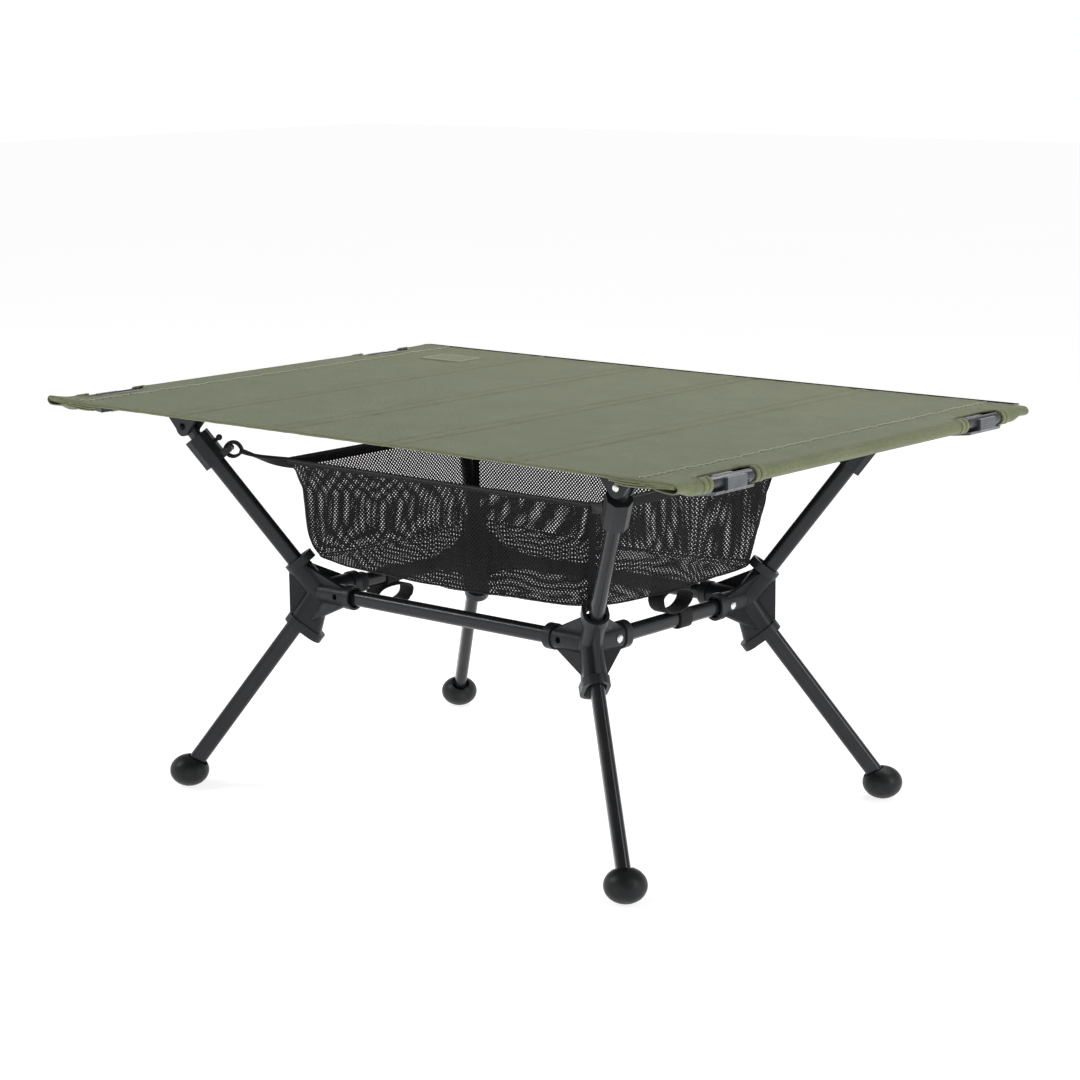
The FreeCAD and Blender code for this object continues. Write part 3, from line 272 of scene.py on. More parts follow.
MATERIALS = {
    "hub_plastic": moulded("hub_plastic", (0.0105, 0.012, 0.014, 1), (0.0175, 0.0195, 0.023, 1), 0.36,
                           0.5 * MM),
    "clip_plastic": clip_finish("clip_plastic"),
    "frame_tube": anodised("frame_tube", (0.010, 0.011, 0.013, 1), (0.017, 0.018, 0.021, 1), 0.22),
    "rail_tube": anodised("rail_tube", (0.030, 0.032, 0.036, 1), (0.062, 0.065, 0.072, 1), 0.2),
    "foot_rubber": rubber("foot_rubber"),
    "shock_cord": webbing("shock_cord", (0.008, 0.008, 0.008, 1), (0.04, 0.04, 0.04, 1), 1.2 * MM),
    "rivet_steel": bright_metal("rivet_steel", (0.85, 0.85, 0.84, 1), 0.2),
    "batten_alloy": bright_metal("batten_alloy", (0.55, 0.56, 0.57, 1), 0.35),
    "top_cloth": woven("top_cloth", (0.097, 0.116, 0.050, 1), (0.216, 0.238, 0.122, 1), 0.95 * MM,
                       0.3 * MM),
    "hem_cloth": woven("hem_cloth", (0.118, 0.136, 0.058, 1), (0.25, 0.270, 0.140, 1), 0.8 * MM,
                       0.25 * MM),
    "label_cloth": woven("label_cloth", (0.155, 0.172, 0.090, 1), (0.27, 0.29, 0.17, 1), 0.6 * MM,
                         0.2 * MM),
    "basket_net": webbing("basket_net", (0.004, 0.004, 0.005, 1), (0.022, 0.023, 0.025, 1), 0.9 * MM,
                          0.02),
    "webbing": webbing("webbing", (0.006, 0.006, 0.007, 1), (0.040, 0.041, 0.043, 1), 1.6 * MM),
    "thread": webbing("thread", (0.26, 0.275, 0.17, 1), (0.52, 0.54, 0.38, 1), 0.5 * MM),
    "pale_thread": webbing("pale_thread", (0.42, 0.44, 0.33, 1), (0.70, 0.72, 0.58, 1), 0.5 * MM),
    "seam_tape": webbing("seam_tape", (0.020, 0.020, 0.022, 1), (0.085, 0.086, 0.09, 1), 1.2 * MM),
    # near-black metal: painted shade on the recessed strut pins and on the rivets of the left half
    "painted_shade_pin": bright_metal("painted_shade_pin", (0.012, 0.012, 0.013, 1), 0.5),
}


def dress_frame():
    """Give every CAD node its material; the long struts' pins and the left rivets get a near-black metal,
    which is painted shade.
    """
    for part in frame["record"]["subparts"]:
        node = frame["nodes"][part["node"]]
        node.data.materials.clear()
        node.data.materials.append(MATERIALS[part["material_slot"]])
    pins = frame["nodes"]["long_strut_pins"].data
    pins.materials[0] = MATERIALS["painted_shade_pin"]
    # the rivets on the left half are painted dark as shade; the same rivets on the right stay bright steel
    rivets = frame["nodes"]["pivot_rivets"].data
    rivets.materials.append(MATERIALS["painted_shade_pin"])
    for face in rivets.polygons:
        face.material_index = 1 if face.center.x < 0 else 0


# ---------------------------------------------------------------- meshes
def new_piece(name, points, faces, slot, body, material=None):
    """A smooth-shaded piece that rides a body; its material is its slot's unless one is given."""
    mesh = bpy.data.meshes.new(name)
    corners = [tuple(int(i) for i in face) for face in faces]
    mesh.from_pydata([tuple(point) for point in points], [], corners)
    mesh.validate()
    mesh.shade_smooth()
    piece = bpy.data.objects.new(name, mesh)
    bpy.context.scene.collection.objects.link(piece)
    mesh.materials.append(MATERIALS[material or slot])
    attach(piece, body)
    return piece


def grid_faces(rows, columns, closed=False):
    """Quads of a grid of points held row by row; closed joins the last column to the first."""
    row, column = np.meshgrid(np.arange(rows - 1), np.arange(columns if closed else columns - 1),
                              indexing="ij")
    after = (column + 1) % columns
    quads = [row * columns + column, row * columns + after, (row + 1) * columns + after,
             (row + 1) * columns + column]
    return np.stack([corner.ravel() for corner in quads], axis=1)


def applied(piece):
    """Turn a piece's modifiers into its mesh."""
    shown = piece.evaluated_get(bpy.context.evaluated_depsgraph_get())
    mesh = bpy.data.meshes.new_from_object(shown)
    piece.modifiers.clear()
    piece.data = mesh
    return piece


def sharpen(piece, degrees):
    """Keep edges that turn by more than this angle crisp."""
    work = bmesh.new()
    work.from_mesh(piece.data)
    for edge in work.edges:
        turn = edge.calc_face_angle(0.0)
        edge.smooth = turn < math.radians(degrees)
    work.to_mesh(piece.data)
    work.free()


def swept(name, path, profile, slot, body, sides, closed=False, material=None):
    """A section of (across, up) pairs carried along a path.  sides gives the across direction, once for
    the whole path or once for each of its points."""
    path = np.array(path, float)
    ahead = np.roll(path, -1, axis=0) - np.roll(path, 1, axis=0)
    if not closed:
        ahead[0], ahead[-1] = path[1] - path[0], path[-1] - path[-2]
    ahead /= np.linalg.norm(ahead, axis=1)[:, None]
    across = np.array(np.broadcast_to(np.array(sides, float), path.shape))
    across -= (across * ahead).sum(1)[:, None] * ahead
    across /= np.linalg.norm(across, axis=1)[:, None]
    up = np.cross(ahead, across)
    rings = [path + across * a + up * b for a, b in profile]
    points = np.stack(rings, axis=1).reshape(-1, 3)
    count = len(profile)
    faces = list(grid_faces(len(path), count, closed=True))
    if closed:
        last = (len(path) - 1) * count
        faces += [(last + i, last + (i + 1) % count, (i + 1) % count, i) for i in range(count)]
    else:
        faces = [tuple(face) for face in faces]
        faces.append(tuple(range(count))[::-1])
        faces.append(tuple((len(path) - 1) * count + i for i in range(count)))
    return new_piece(name, points, faces, slot, body, material)


def rounded_section(width, height, corner, steps=3):
    """A rectangle with round corners, as (across, up) pairs about its middle."""
    section = []
    for quarter in range(4):
        x = (width / 2 - corner) * (1 if quarter in (0, 3) else -1)
        y = (height / 2 - corner) * (1 if quarter in (0, 1) else -1)
        for step in range(steps + 1):
            angle = (quarter + step / steps) * math.pi / 2
            section.append((x + corner * math.cos(angle), y + corner * math.sin(angle)))
    return section


# ---------------------------------------------------------------- cloth top
def ridge(distance, width):
    """1 on a line and fading to 0 beside it, over about a width."""
    return np.exp(-(distance / width) ** 2)


def waves(along, lengths, seed):
    """A smooth pseudo-random wobble from -1 to 1 made of a few sines."""
    draw = np.random.default_rng(seed)
    total = sum(np.sin(2 * math.pi * along / length + draw.uniform(0, 6.28)) for length in lengths)
    return total / len(lengths)


def top_edge(x):
    """Half width of the top at x: the long edges curve inwards between the end poles."""
    return HALF_WIDTH - EDGE_BOW * (1 - np.clip(x / POLE_X, -1, 1) ** 2)


def corner_drop(x, y):
    """How far a limp corner past the end of its pole lifts (above 0) or droops (below 0)."""
    past = np.clip((np.abs(y) - POLE_REACH) / (HALF_WIDTH - POLE_REACH), 0, 1)
    near = np.clip((np.abs(x) - SLEEVE_SEAM + 20 * MM) / (60 * MM), 0, 1)
    front_left = (np.sign(x) < 0) & (np.sign(y) < 0)
    back_right = (np.sign(x) > 0) & (np.sign(y) > 0)
    rise = np.where(front_left, 4.0, np.where(back_right, -1.0, 0.3)) * MM
    return rise * past ** 1.5 * near


def top_height(x, y):
    """Middle surface of the cloth: pulled tight over battens, with sewn channels and small puckers."""
    edge = top_edge(x) - np.abs(y)
    height = np.full(np.broadcast(x, y).shape, TOP_Z - CLOTH / 2)
    for number, batten in enumerate(BATTEN_X):
        over = x - batten
        height = height + 0.55 * MM * np.exp(-(over / (0.75 * CHANNEL)) ** 4)
        for side in (-1, 1):
            seam = over - side * CHANNEL
            gather = waves(y, (11 * MM, 17 * MM, 29 * MM), number * 2 + side + 1)
            height -= ridge(seam, 1.5 * MM) * 1.0 * MM
            height += ridge(seam - side * 3 * MM, 4 * MM) * gather * 0.42 * MM
            height -= ridge(seam, 5 * MM) * ridge(edge, 9 * MM) * 1.2 * MM
    bay = np.clip((np.abs(x) - abs(BATTEN_X[3])) / (SLEEVE_SEAM - abs(BATTEN_X[3])), 0, 1)
    height -= 0.9 * MM * np.sin(math.pi * bay) * np.clip(edge / (60 * MM), 0, 1)
    for half_seam in (SLEEVE_SEAM, SLEEVE_SEAM - SEAM_GAP):
        seam = np.abs(x) - half_seam
        gather = waves(y, (13 * MM, 21 * MM, 37 * MM), 31)
        height -= ridge(seam, 1.4 * MM) * 0.8 * MM
        height += ridge(seam, 5 * MM) * gather * 0.35 * MM
    from_rail = np.abs(y) - RAIL_Y
    from_notch = np.abs(x) - OUTER_X + NOTCH_DEPTH - 4 * MM
    height -= 3.0 * MM * ridge(from_notch, 13 * MM) * ridge(from_rail, 32 * MM)
    pull = ridge(np.abs(x) - OUTER_X, 95 * MM) * ridge(from_rail, 70 * MM)
    height += pull * 0.35 * MM * np.sin(from_rail / (9 * MM))
    height += 0.3 * MM * waves(x + 0.6 * y, (90 * MM, 143 * MM, 211 * MM), 5)
    height += 0.35 * MM * ridge(edge - 5 * MM, 5 * MM)
    height -= 0.4 * MM * ridge(edge - 12 * MM, 1.6 * MM)
    ripple = waves(x, (19 * MM, 31 * MM, 47 * MM), 12)
    height += ridge(edge, 12 * MM) * ripple * 0.3 * MM
    return height + corner_drop(x, y)


def spaced_samples(low, high, step, seams):
    """Samples from low to high, with extra ones close to each seam."""
    plain = list(np.linspace(low, high, int(round((high - low) / step)) + 1))
    extra = [seam + offset * MM for seam in seams for offset in (-3, -1.5, 0, 1.5, 3)]
    kept = [value for value in plain if all(abs(value - other) > 1.0 * MM for other in extra)]
    return np.array(sorted(kept + extra))


def make_top():
    """One sheet: over the battens, round both end poles, and back under to the sleeve seams."""
    seams = [batten + side * CHANNEL for batten in BATTEN_X for side in (-1, 1)]
    seams += [side * (SLEEVE_SEAM - gap) for side in (-1, 1) for gap in (0, SEAM_GAP)]
    x_flat = spaced_samples(-POLE_X, POLE_X, 6 * MM, seams)
    shares = np.concatenate([np.linspace(-1, -0.9, 12), np.linspace(-0.9, 0.9, 110)[1:-1],
                             np.linspace(0.9, 1, 12)])
    turns = np.linspace(0, 1, 15)[1:] * math.pi * 1.06
    under = np.linspace(0, 1, 12)[1:]
    seam_z = TOP_Z - 2.6 * CLOTH
    rows = []
    for side in (-1, 1):
        sleeve = []
        for turn in turns:
            sleeve.append((POLE_X + WRAP * math.sin(turn), POLE_Z + WRAP * math.cos(turn)))
        last = sleeve[-1]
        for share in under:
            ease = share * share * (3 - 2 * share)
            x = last[0] + (SLEEVE_SEAM - TURNING - last[0]) * share
            sleeve.append((x, last[1] + (seam_z - last[1]) * ease))
        rows.append([(side * x, z) for x, z in sleeve])
    points = []
    for x, z in reversed(rows[0]):
        points.append([(x, share * HALF_WIDTH, z) for share in shares])
    for x in x_flat:
        y = shares * top_edge(x)
        z = top_height(x, y)
        points.append(list(zip(np.full(len(y), x), y, z)))
    for x, z in rows[1]:
        points.append([(x, share * HALF_WIDTH, z) for share in shares])
    points = np.array(points)
    sleeve = len(rows[0])
    for ends in (slice(0, sleeve), slice(-sleeve, None)):
        points[ends] = flattened(points[ends])
    top = new_piece("top_cloth", points.reshape(-1, 3), grid_faces(points.shape[0], points.shape[1]),
                    "top_cloth", "tabletop")
    thicken = top.modifiers.new("cloth", "SOLIDIFY")
    thicken.thickness = CLOTH
    thicken.offset = 0
    applied(top)
    for x_side in (-1, 1):
        for y_side in (-1, 1):
            cut_notch(top, x_side, y_side)
    sharpen(top, 50)
    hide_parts("top_fabric")
    return top


def flattened(points):
    """A sleeve's points, pressed flat past the end of its pole and following the limp corner."""
    past = np.clip((np.abs(points[..., 1]) - POLE_REACH) / (14 * MM), 0, 1)
    ease = past * past * (3 - 2 * past)
    depth = TOP_Z - points[..., 2]
    points[..., 2] = TOP_Z - depth * (1 - 0.32 * ease) + corner_drop(points[..., 0], points[..., 1])
    return points


def make_corner_layers():
    """The folded layers of cloth stacked under each long edge where a sleeve ends."""
    made = []
    section = rounded_section(5.0 * MM, 1.5 * MM, 0.6 * MM)
    for x_side, y_side, corner in CORNERS:
        for layer in range(3):
            xs = np.linspace((322 + 6 * layer) * MM, POLE_X + (4 - layer) * MM, 40) * x_side
            wobble = waves(xs, (17 * MM, 29 * MM), 60 + layer + x_side + 3 * y_side)
            ys = y_side * (top_edge(xs) - (1.6 + 0.5 * layer) * MM + wobble * 0.4 * MM)
            spread = 0.55 + 0.45 * ridge(np.abs(xs) - 352 * MM, 30 * MM)
            zs = TOP_Z - (2.2 + 2.2 * layer) * MM * spread - 0.3 * MM + corner_drop(xs, ys)
            path = np.stack([xs, ys, zs + wobble * 0.15 * MM], axis=1)
            made.append(swept(f"corner_layer_{corner}_{layer + 1}", path, section, "hem_cloth",
                              "tabletop", ALONG_Y))
    return made


def make_sleeve_mouths():
    """Rolled double rings round the end poles where the sleeves stop at the notches."""
    made = []
    turns = np.linspace(-0.05, 1.06, 26) * math.pi
    radius = WRAP + 0.1 * MM
    for x_side, y_side, corner in CORNERS:
        for away in (1, -1):
            end = "outer" if away == y_side else "inner"
            for ring, (reach, girth) in enumerate(MOUTH_RINGS):
                y = y_side * RAIL_Y + away * reach
                path = [(x_side * (POLE_X + radius * math.sin(turn)), y, POLE_Z + radius * math.cos(turn))
                        for turn in turns]
                made.append(swept(f"sleeve_mouth_{corner}_{end}_{ring + 1}", path,
                                  rounded_section(girth, 2.2 * MM, 1.0 * MM), "hem_cloth", "tabletop",
                                  ALONG_Y))
    return made


def notch_outline(x_side, y_side, grow=0.0, count=48):
    """The rounded gap in a short end, as (x, y) pairs from one sleeve mouth to the other."""
    radius = NOTCH_DEPTH + 2 * MM
    reach = NOTCH_LENGTH / 2 - radius
    outline = []
    for step in range(count + 1):
        angle = math.pi * step / count
        shift = reach if step < count / 2 else -reach
        y = math.cos(angle) * (radius + grow) + shift
        x = OUTER_X + 2 * MM - math.sin(angle) * (radius + grow)
        outline.append((x_side * x, y_side * RAIL_Y + y))
    return outline


def cut_notch(top, x_side, y_side):
    """Cut one notch out of the sheet and the sleeve below it."""
    outline = notch_outline(x_side, y_side)
    beyond = x_side * (OUTER_X + 12 * MM)
    outline = outline + [(beyond, outline[-1][1]), (beyond, outline[0][1])]
    count = len(outline)
    points = [(x, y, z) for z in (TOP_Z - 30 * MM, TOP_Z + 10 * MM) for x, y in outline]
    faces = [(i, (i + 1) % count, count + (i + 1) % count, count + i) for i in range(count)]
    faces += [tuple(range(count))[::-1], tuple(range(count, 2 * count))]
    mesh = bpy.data.meshes.new("notch_cutter")
    mesh.from_pydata(points, [], faces)
    work = bmesh.new()
    work.from_mesh(mesh)
    bmesh.ops.recalc_face_normals(work, faces=work.faces)
    work.to_mesh(mesh)
    work.free()
    cutter = bpy.data.objects.new("notch_cutter", mesh)
    bpy.context.scene.collection.objects.link(cutter)
    cut = top.modifiers.new("notch", "BOOLEAN")
    cut.object = cutter
    cut.operation = "DIFFERENCE"
    cut.solver = "EXACT"
    applied(top)
    bpy.data.objects.remove(cutter)


def sleeve_surface(x, y):
    """Height of the cloth's outside above (x, y), on the flat or over an end pole."""
    out = abs(x) - POLE_X
    if out <= 0:
        return float(top_height(np.array(x), np.array(y))) + CLOTH / 2
    out = min(out, WRAP + CLOTH / 2)
    return POLE_Z + math.sqrt(max((WRAP + CLOTH / 2) ** 2 - out ** 2, 0.0))


def make_notch_bindings():
    """The bound edge round each notch."""
    made = []
    section = rounded_section(3.2 * MM, 2.2 * MM, 1.0 * MM)
    for x_side, y_side, corner in CORNERS:
        path = []
        for x, y in notch_outline(x_side, y_side, grow=0.6 * MM, count=60):
            if abs(x) <= OUTER_X - 0.8 * MM:
                path.append((x, y, sleeve_surface(x, y) - 0.4 * MM))
        centre = Vector((x_side * (OUTER_X + 2 * MM), y_side * RAIL_Y, TOP_Z))
        sides = [(Vector(point) - centre) * Vector((1, 1, 0)) for point in path]
        made.append(swept(f"notch_binding_{corner}", path, section, "hem_cloth", "tabletop", sides))
    return made


def stitches(name, rows, length, thick, slot, body, slant=0.0, material="thread"):
    """Rows of single stitches: each row is (points, normals) already spaced out.  A slant turns every
    second stitch one way and the rest the other way, for a zigzag."""
    places, headings, lifts = [], [], []
    for line, normals in rows:
        line = np.array(line, float)
        heading = np.gradient(line, axis=0)
        lean = np.cross(heading, np.array(normals, float)) * slant
        heading = heading + lean * np.where(np.arange(len(line)) % 2, 1, -1)[:, None]
        places.append(line)
        headings.append(heading / np.linalg.norm(heading, axis=1)[:, None])
        lifts.append(np.array(normals, float))
    place, ahead, up = (np.concatenate(part) for part in (places, headings, lifts))
    side = np.cross(up, ahead)
    shape = []
    swell = ((-0.5, 0.25), (-0.3, 1.0), (0.3, 1.0), (0.5, 0.25))    # place along a stitch, and girth
    around = 5
    for share, girth in swell:
        for turn in range(around):
            angle = turn / around * 2 * math.pi
            dip = (0.25 - share * share) * thick * 1.6
            shape.append(place + ahead * share * length + side * math.cos(angle) * girth * thick / 2
                         + up * (math.sin(angle) * girth * thick / 2 + dip - thick * 0.15))
    points = np.stack(shape, axis=1).reshape(-1, 3)
    size = len(swell) * around
    starts = np.arange(len(place)) * size
    faces = (grid_faces(len(swell), around, closed=True)[None] + starts[:, None, None]).reshape(-1, 4)
    caps = [tuple(range(around))[::-1], tuple(range(size - around, size))]
    all_faces = [tuple(face) for face in faces]
    for start in starts:
        all_faces += [tuple(start + i for i in cap) for cap in caps]
    return new_piece(name, points, all_faces, slot, body, material)


def make_top_stitching():
    """Running stitches along every seam, and a zigzag between the two rows that close each sleeve."""
    rows = []
    for batten in BATTEN_X:
        for side in (-1, 1):
            x = batten + side * CHANNEL
            ys = np.arange(-top_edge(x) + 6 * MM, top_edge(x) - 6 * MM, STITCH_PITCH)
            rows.append(surface_row(np.full(len(ys), x), ys))
    zigzag = []
    for side in (-1, 1):
        for gap in (0, SEAM_GAP):
            x = side * (SLEEVE_SEAM - gap)
            ys = np.arange(-top_edge(x) + 4 * MM, top_edge(x) - 4 * MM, STITCH_PITCH)
            rows.append(surface_row(np.full(len(ys), x), ys))
        x = side * (SLEEVE_SEAM - SEAM_GAP / 2)
        ys = np.arange(-top_edge(x) + 5 * MM, top_edge(x) - 5 * MM, 4.4 * MM)
        zigzag.append(surface_row(np.full(len(ys), x), ys))
    xs = np.arange(-POLE_X + 8 * MM, POLE_X - 8 * MM, STITCH_PITCH)
    for y_side in (-1, 1):
        rows.append(surface_row(xs, y_side * (top_edge(xs) - 12 * MM)))
    return [stitches("top_stitching", rows, 2.6 * MM, 0.9 * MM, "top_cloth", "tabletop"),
            stitches("top_zigzag", zigzag, 5.2 * MM, 1.5 * MM, "top_cloth", "tabletop", slant=0.8,
                     material="pale_thread")]


def surface_row(xs, ys):
    """Points on the upper face of the sheet, and the direction away from it."""
    heights = top_height(xs, ys) + CLOTH / 2
    return np.stack([xs, ys, heights], axis=1), np.tile((0.0, 0.0, 1.0), (len(xs), 1))


def make_hems():
    """The folded long edges, which hang a little below the sheet, and the dark tape on the back one."""
    made = []
    reach = POLE_X - 4 * MM
    xs = np.linspace(-reach, reach, 260)
    for y_side, name in ((-1, "front"), (1, "back")):
        low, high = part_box(f"hem_{name}")
        drop = high.z - low.z - 0.9 * MM
        wobble = waves(xs, (23 * MM, 41 * MM, 67 * MM), 40 + y_side)
        ys = y_side * (top_edge(xs) - 2.2 * MM)
        zs = TOP_Z - drop / 2 + 0.1 * MM + wobble * 0.2 * MM + corner_drop(xs, ys)
        path = np.stack([xs, ys, zs], axis=1)
        hem = swept(f"hem_edge_{name}", path, rounded_section(5.2 * MM, drop, 1.5 * MM, 4), "hem_cloth",
                    "tabletop", ALONG_Y)
        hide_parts(f"hem_{name}")
        made.append(hem)
    tape = np.stack([xs, top_edge(xs) - 1.0 * MM, np.full(len(xs), TOP_Z + 0.5 * MM)], axis=1)
    made.append(swept("back_edge_tape", tape, rounded_section(2.6 * MM, 1.2 * MM, 0.5 * MM), "hem_cloth",
                      "tabletop", ALONG_Y, material="webbing"))
    return made


def make_label():
    """A blank woven patch sewn on near the back left corner."""
    low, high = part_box("label_patch")
    across, along = 41, 29
    xs = np.linspace(low.x, high.x, across)
    ys = np.linspace(low.y, high.y, along)
    points = []
    for y in ys:
        for x in xs:
            rim = min(x - low.x, high.x - x, y - low.y, high.y - y)
            lift = 1.5 * MM * min(1.0, rim / (0.8 * MM)) - 0.35 * MM * float(ridge(rim - 2.6 * MM, 1 * MM))
            cushion = 0.35 * MM * math.sin(math.pi * (x - low.x) / (high.x - low.x))
            points.append((x, y, float(top_height(x, y)) + CLOTH / 2 - 0.2 * MM + lift + cushion))
    patch = new_piece("label_cloth", points, grid_faces(along, across), "label_cloth", "tabletop")
    thicken = patch.modifiers.new("cloth", "SOLIDIFY")
    thicken.thickness = 0.6 * MM
    thicken.offset = -1
    applied(patch)
    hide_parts("label_patch")
    inset = 2.6 * MM
    xs = np.arange(low.x + inset, high.x - inset, 2.6 * MM)
    ys = np.arange(low.y + inset, high.y - inset, 2.6 * MM)
    rows = []
    for y in (low.y + inset, high.y - inset):
        rows.append(label_row(xs, np.full(len(xs), y), low, high))
    for x in (low.x + inset, high.x - inset):
        rows.append(label_row(np.full(len(ys), x), ys, low, high))
    seam = stitches("label_stitching", rows, 2.2 * MM, 1.0 * MM, "label_cloth", "tabletop",
                    material="pale_thread")
    return [patch, seam]


def label_row(xs, ys, low, high):
    """Points on the upper face of the patch, and the direction away from it."""
    cushion = 0.35 * MM * np.sin(math.pi * (xs - low.x) / (high.x - low.x))
    heights = top_height(xs, ys) + CLOTH / 2 + 1.0 * MM + cushion
    return np.stack([xs, ys, heights], axis=1), np.tile((0.0, 0.0, 1.0), (len(xs), 1))


# ---------------------------------------------------------------- basket
RIM_LOW, RIM_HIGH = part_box("basket_rim")
NET_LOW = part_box("basket_mesh")[0]
RIM_X, RIM_Y, RIM_Z = RIM_HIGH.x - 2 * MM, RIM_HIGH.y - 2 * MM, RIM_HIGH.z
LONG_CELLS, SHORT_CELLS, WALL_CELLS = 56, 38, 16    # steps along a long wall, a short wall, and down
DRAPE_FRAMES = 30
HOLE = 0.465                              # size of a hole in the net against its diamond cell


def round_rectangle_point(side, share, half_x, half_y, corner):
    """A point on a rounded rectangle: side 0 to 3 from the front, share 0 to 1 along that side."""
    starts = ((-1, -1), (1, -1), (1, 1), (-1, 1))
    x0, y0 = starts[side]
    x1, y1 = starts[(side + 1) % 4]
    x = half_x * (x0 + (x1 - x0) * share)
    y = half_y * (y0 + (y1 - y0) * share)
    inner_x, inner_y = half_x - corner, half_y - corner
    over_x, over_y = abs(x) - inner_x, abs(y) - inner_y
    if over_x > 0 and over_y > 0:
        pull = corner / max(math.hypot(over_x, over_y), 1e-9)
        if math.hypot(over_x, over_y) > corner:
            x = math.copysign(inner_x + over_x * pull, x)
            y = math.copysign(inner_y + over_y * pull, y)
    return x, y


def basket_start():
    """The net before it drapes: a ring of points at each depth, and a grid for the floor."""
    sides = [(0, LONG_CELLS), (1, SHORT_CELLS), (2, LONG_CELLS), (3, SHORT_CELLS)]
    depth = RIM_Z - NET_LOW.z
    around = 2 * (LONG_CELLS + SHORT_CELLS)
    turn = np.arange(around) / around
    folds = waves(turn, (1 / 9, 1 / 14, 1 / 5), 21)
    creases = waves(turn, (1 / 23, 1 / 31), 22)
    rings = []
    for row in range(WALL_CELLS + 1):
        fall = row / WALL_CELLS
        stepped = 9 * MM * math.sin(math.pi / 2 * min(1.0, fall / 0.35)) + 7 * MM * fall ** 10
        corner = (8 + 12 * fall) * MM
        ring = []
        for side, cells in sides:
            for cell in range(cells):
                place = len(ring)
                middle_share = math.sin(math.pi * cell / cells)
                belly = (8.0 * folds[place] * fall + 0.4 * creases[place] * fall ** 0.5) * MM
                x, y = round_rectangle_point(side, cell / cells, RIM_X, RIM_Y, corner)
                lean = 0.5 + 0.25 * (x / RIM_X + y / RIM_Y)
                tuck = stepped * (1 - lean) + 15 * MM * fall * lean
                pull = tuck - belly * math.sin(math.pi * min(1.0, fall * 0.8)) * (0.3 + 0.7 * middle_share)
                x, y = round_rectangle_point(side, cell / cells, RIM_X - pull, RIM_Y - pull, corner)
                drop = depth - (13 - 9 * middle_share ** 0.6) * MM
                ring.append((x, y, RIM_Z - 1 * MM - fall * drop))
        rings.append(ring)
    last = np.array(rings[-1])
    front = last[0:LONG_CELLS + 1]
    right = last[LONG_CELLS:LONG_CELLS + SHORT_CELLS + 1]
    back = last[LONG_CELLS + SHORT_CELLS:2 * LONG_CELLS + SHORT_CELLS + 1][::-1]
    left = np.concatenate([last[2 * LONG_CELLS + SHORT_CELLS:], last[:1]])[::-1]
    u = np.linspace(0, 1, LONG_CELLS + 1)[:, None, None]
    v = np.linspace(0, 1, SHORT_CELLS + 1)[None, :, None]
    floor = (front[:, None] * (1 - v) + back[:, None] * v + left[None] * (1 - u) + right[None] * u
             - front[0] * (1 - u) * (1 - v) - front[-1] * u * (1 - v)
             - back[0] * (1 - u) * v - back[-1] * u * v)
    across = np.sin(math.pi * u) * np.sin(math.pi * v)
    rumple = waves(u + 0.35 * v, (0.21, 0.34, 0.13), 23) + 0.6 * waves(v - 0.5 * u, (0.4, 0.27), 24)
    floor[:, :, 2] -= (3 * MM * across + 2.2 * MM * rumple * np.minimum(1, across * 3))[:, :, 0]
    return np.array(rings), floor


def drape(rings, floor):
    """Hang the net from its rim: a short cloth simulation with a little spare cloth."""
    around = rings.shape[1]
    wall = rings.reshape(-1, 3)
    index = np.full(floor.shape[:2], -1)
    base = WALL_CELLS * around
    for u in range(LONG_CELLS + 1):
        index[u, 0] = base + u
        index[u, SHORT_CELLS] = base + (2 * LONG_CELLS + SHORT_CELLS - u) % around
    for v in range(SHORT_CELLS + 1):
        index[LONG_CELLS, v] = base + LONG_CELLS + v
        index[0, v] = base + (around - v) % around
    free = index < 0
    index[free] = len(wall) + np.arange(free.sum())
    points = np.concatenate([wall, floor[free]])
    faces = [tuple(face) for face in grid_faces(WALL_CELLS + 1, around, closed=True)]
    for u in range(LONG_CELLS):
        for v in range(SHORT_CELLS):
            faces.append((index[u, v], index[u + 1, v], index[u + 1, v + 1], index[u, v + 1]))
    jitter = rng.normal(0, 0.05 * MM, points.shape)
    jitter[:around] = 0
    mesh = bpy.data.meshes.new("drape")
    corners = [tuple(int(i) for i in face) for face in faces]
    mesh.from_pydata([tuple(point) for point in points + jitter], [], corners)
    cloth = bpy.data.objects.new("drape", mesh)
    bpy.context.scene.collection.objects.link(cloth)
    pinned = cloth.vertex_groups.new(name="rim")
    pinned.add(list(range(around)), 1.0, "REPLACE")
    pinned.add(list(range(around, len(points))), 0.3, "REPLACE")
    simulate = cloth.modifiers.new("cloth", "CLOTH")
    settings = simulate.settings
    settings.quality = 6
    settings.mass = 0.08
    settings.tension_stiffness = 45
    settings.compression_stiffness = 20
    settings.shear_stiffness = 8
    settings.bending_stiffness = 0.04
    settings.tension_damping = 8
    settings.air_damping = 2
    settings.vertex_group_mass = "rim"
    settings.shrink_min = -0.004
    simulate.collision_settings.use_collision = False
    scene = bpy.context.scene
    simulate.point_cache.frame_start = 1
    simulate.point_cache.frame_end = DRAPE_FRAMES
    for number in range(1, DRAPE_FRAMES + 1):
        scene.frame_set(number)
    shown = cloth.evaluated_get(bpy.context.evaluated_depsgraph_get())
    hung = np.empty(len(points) * 3)
    shown.data.vertices.foreach_get("co", hung)
    hung = hung.reshape(-1, 3)
    bpy.data.objects.remove(cloth)
    scene.frame_set(1)
    return hung[:len(wall)].reshape(rings.shape), hung[index]


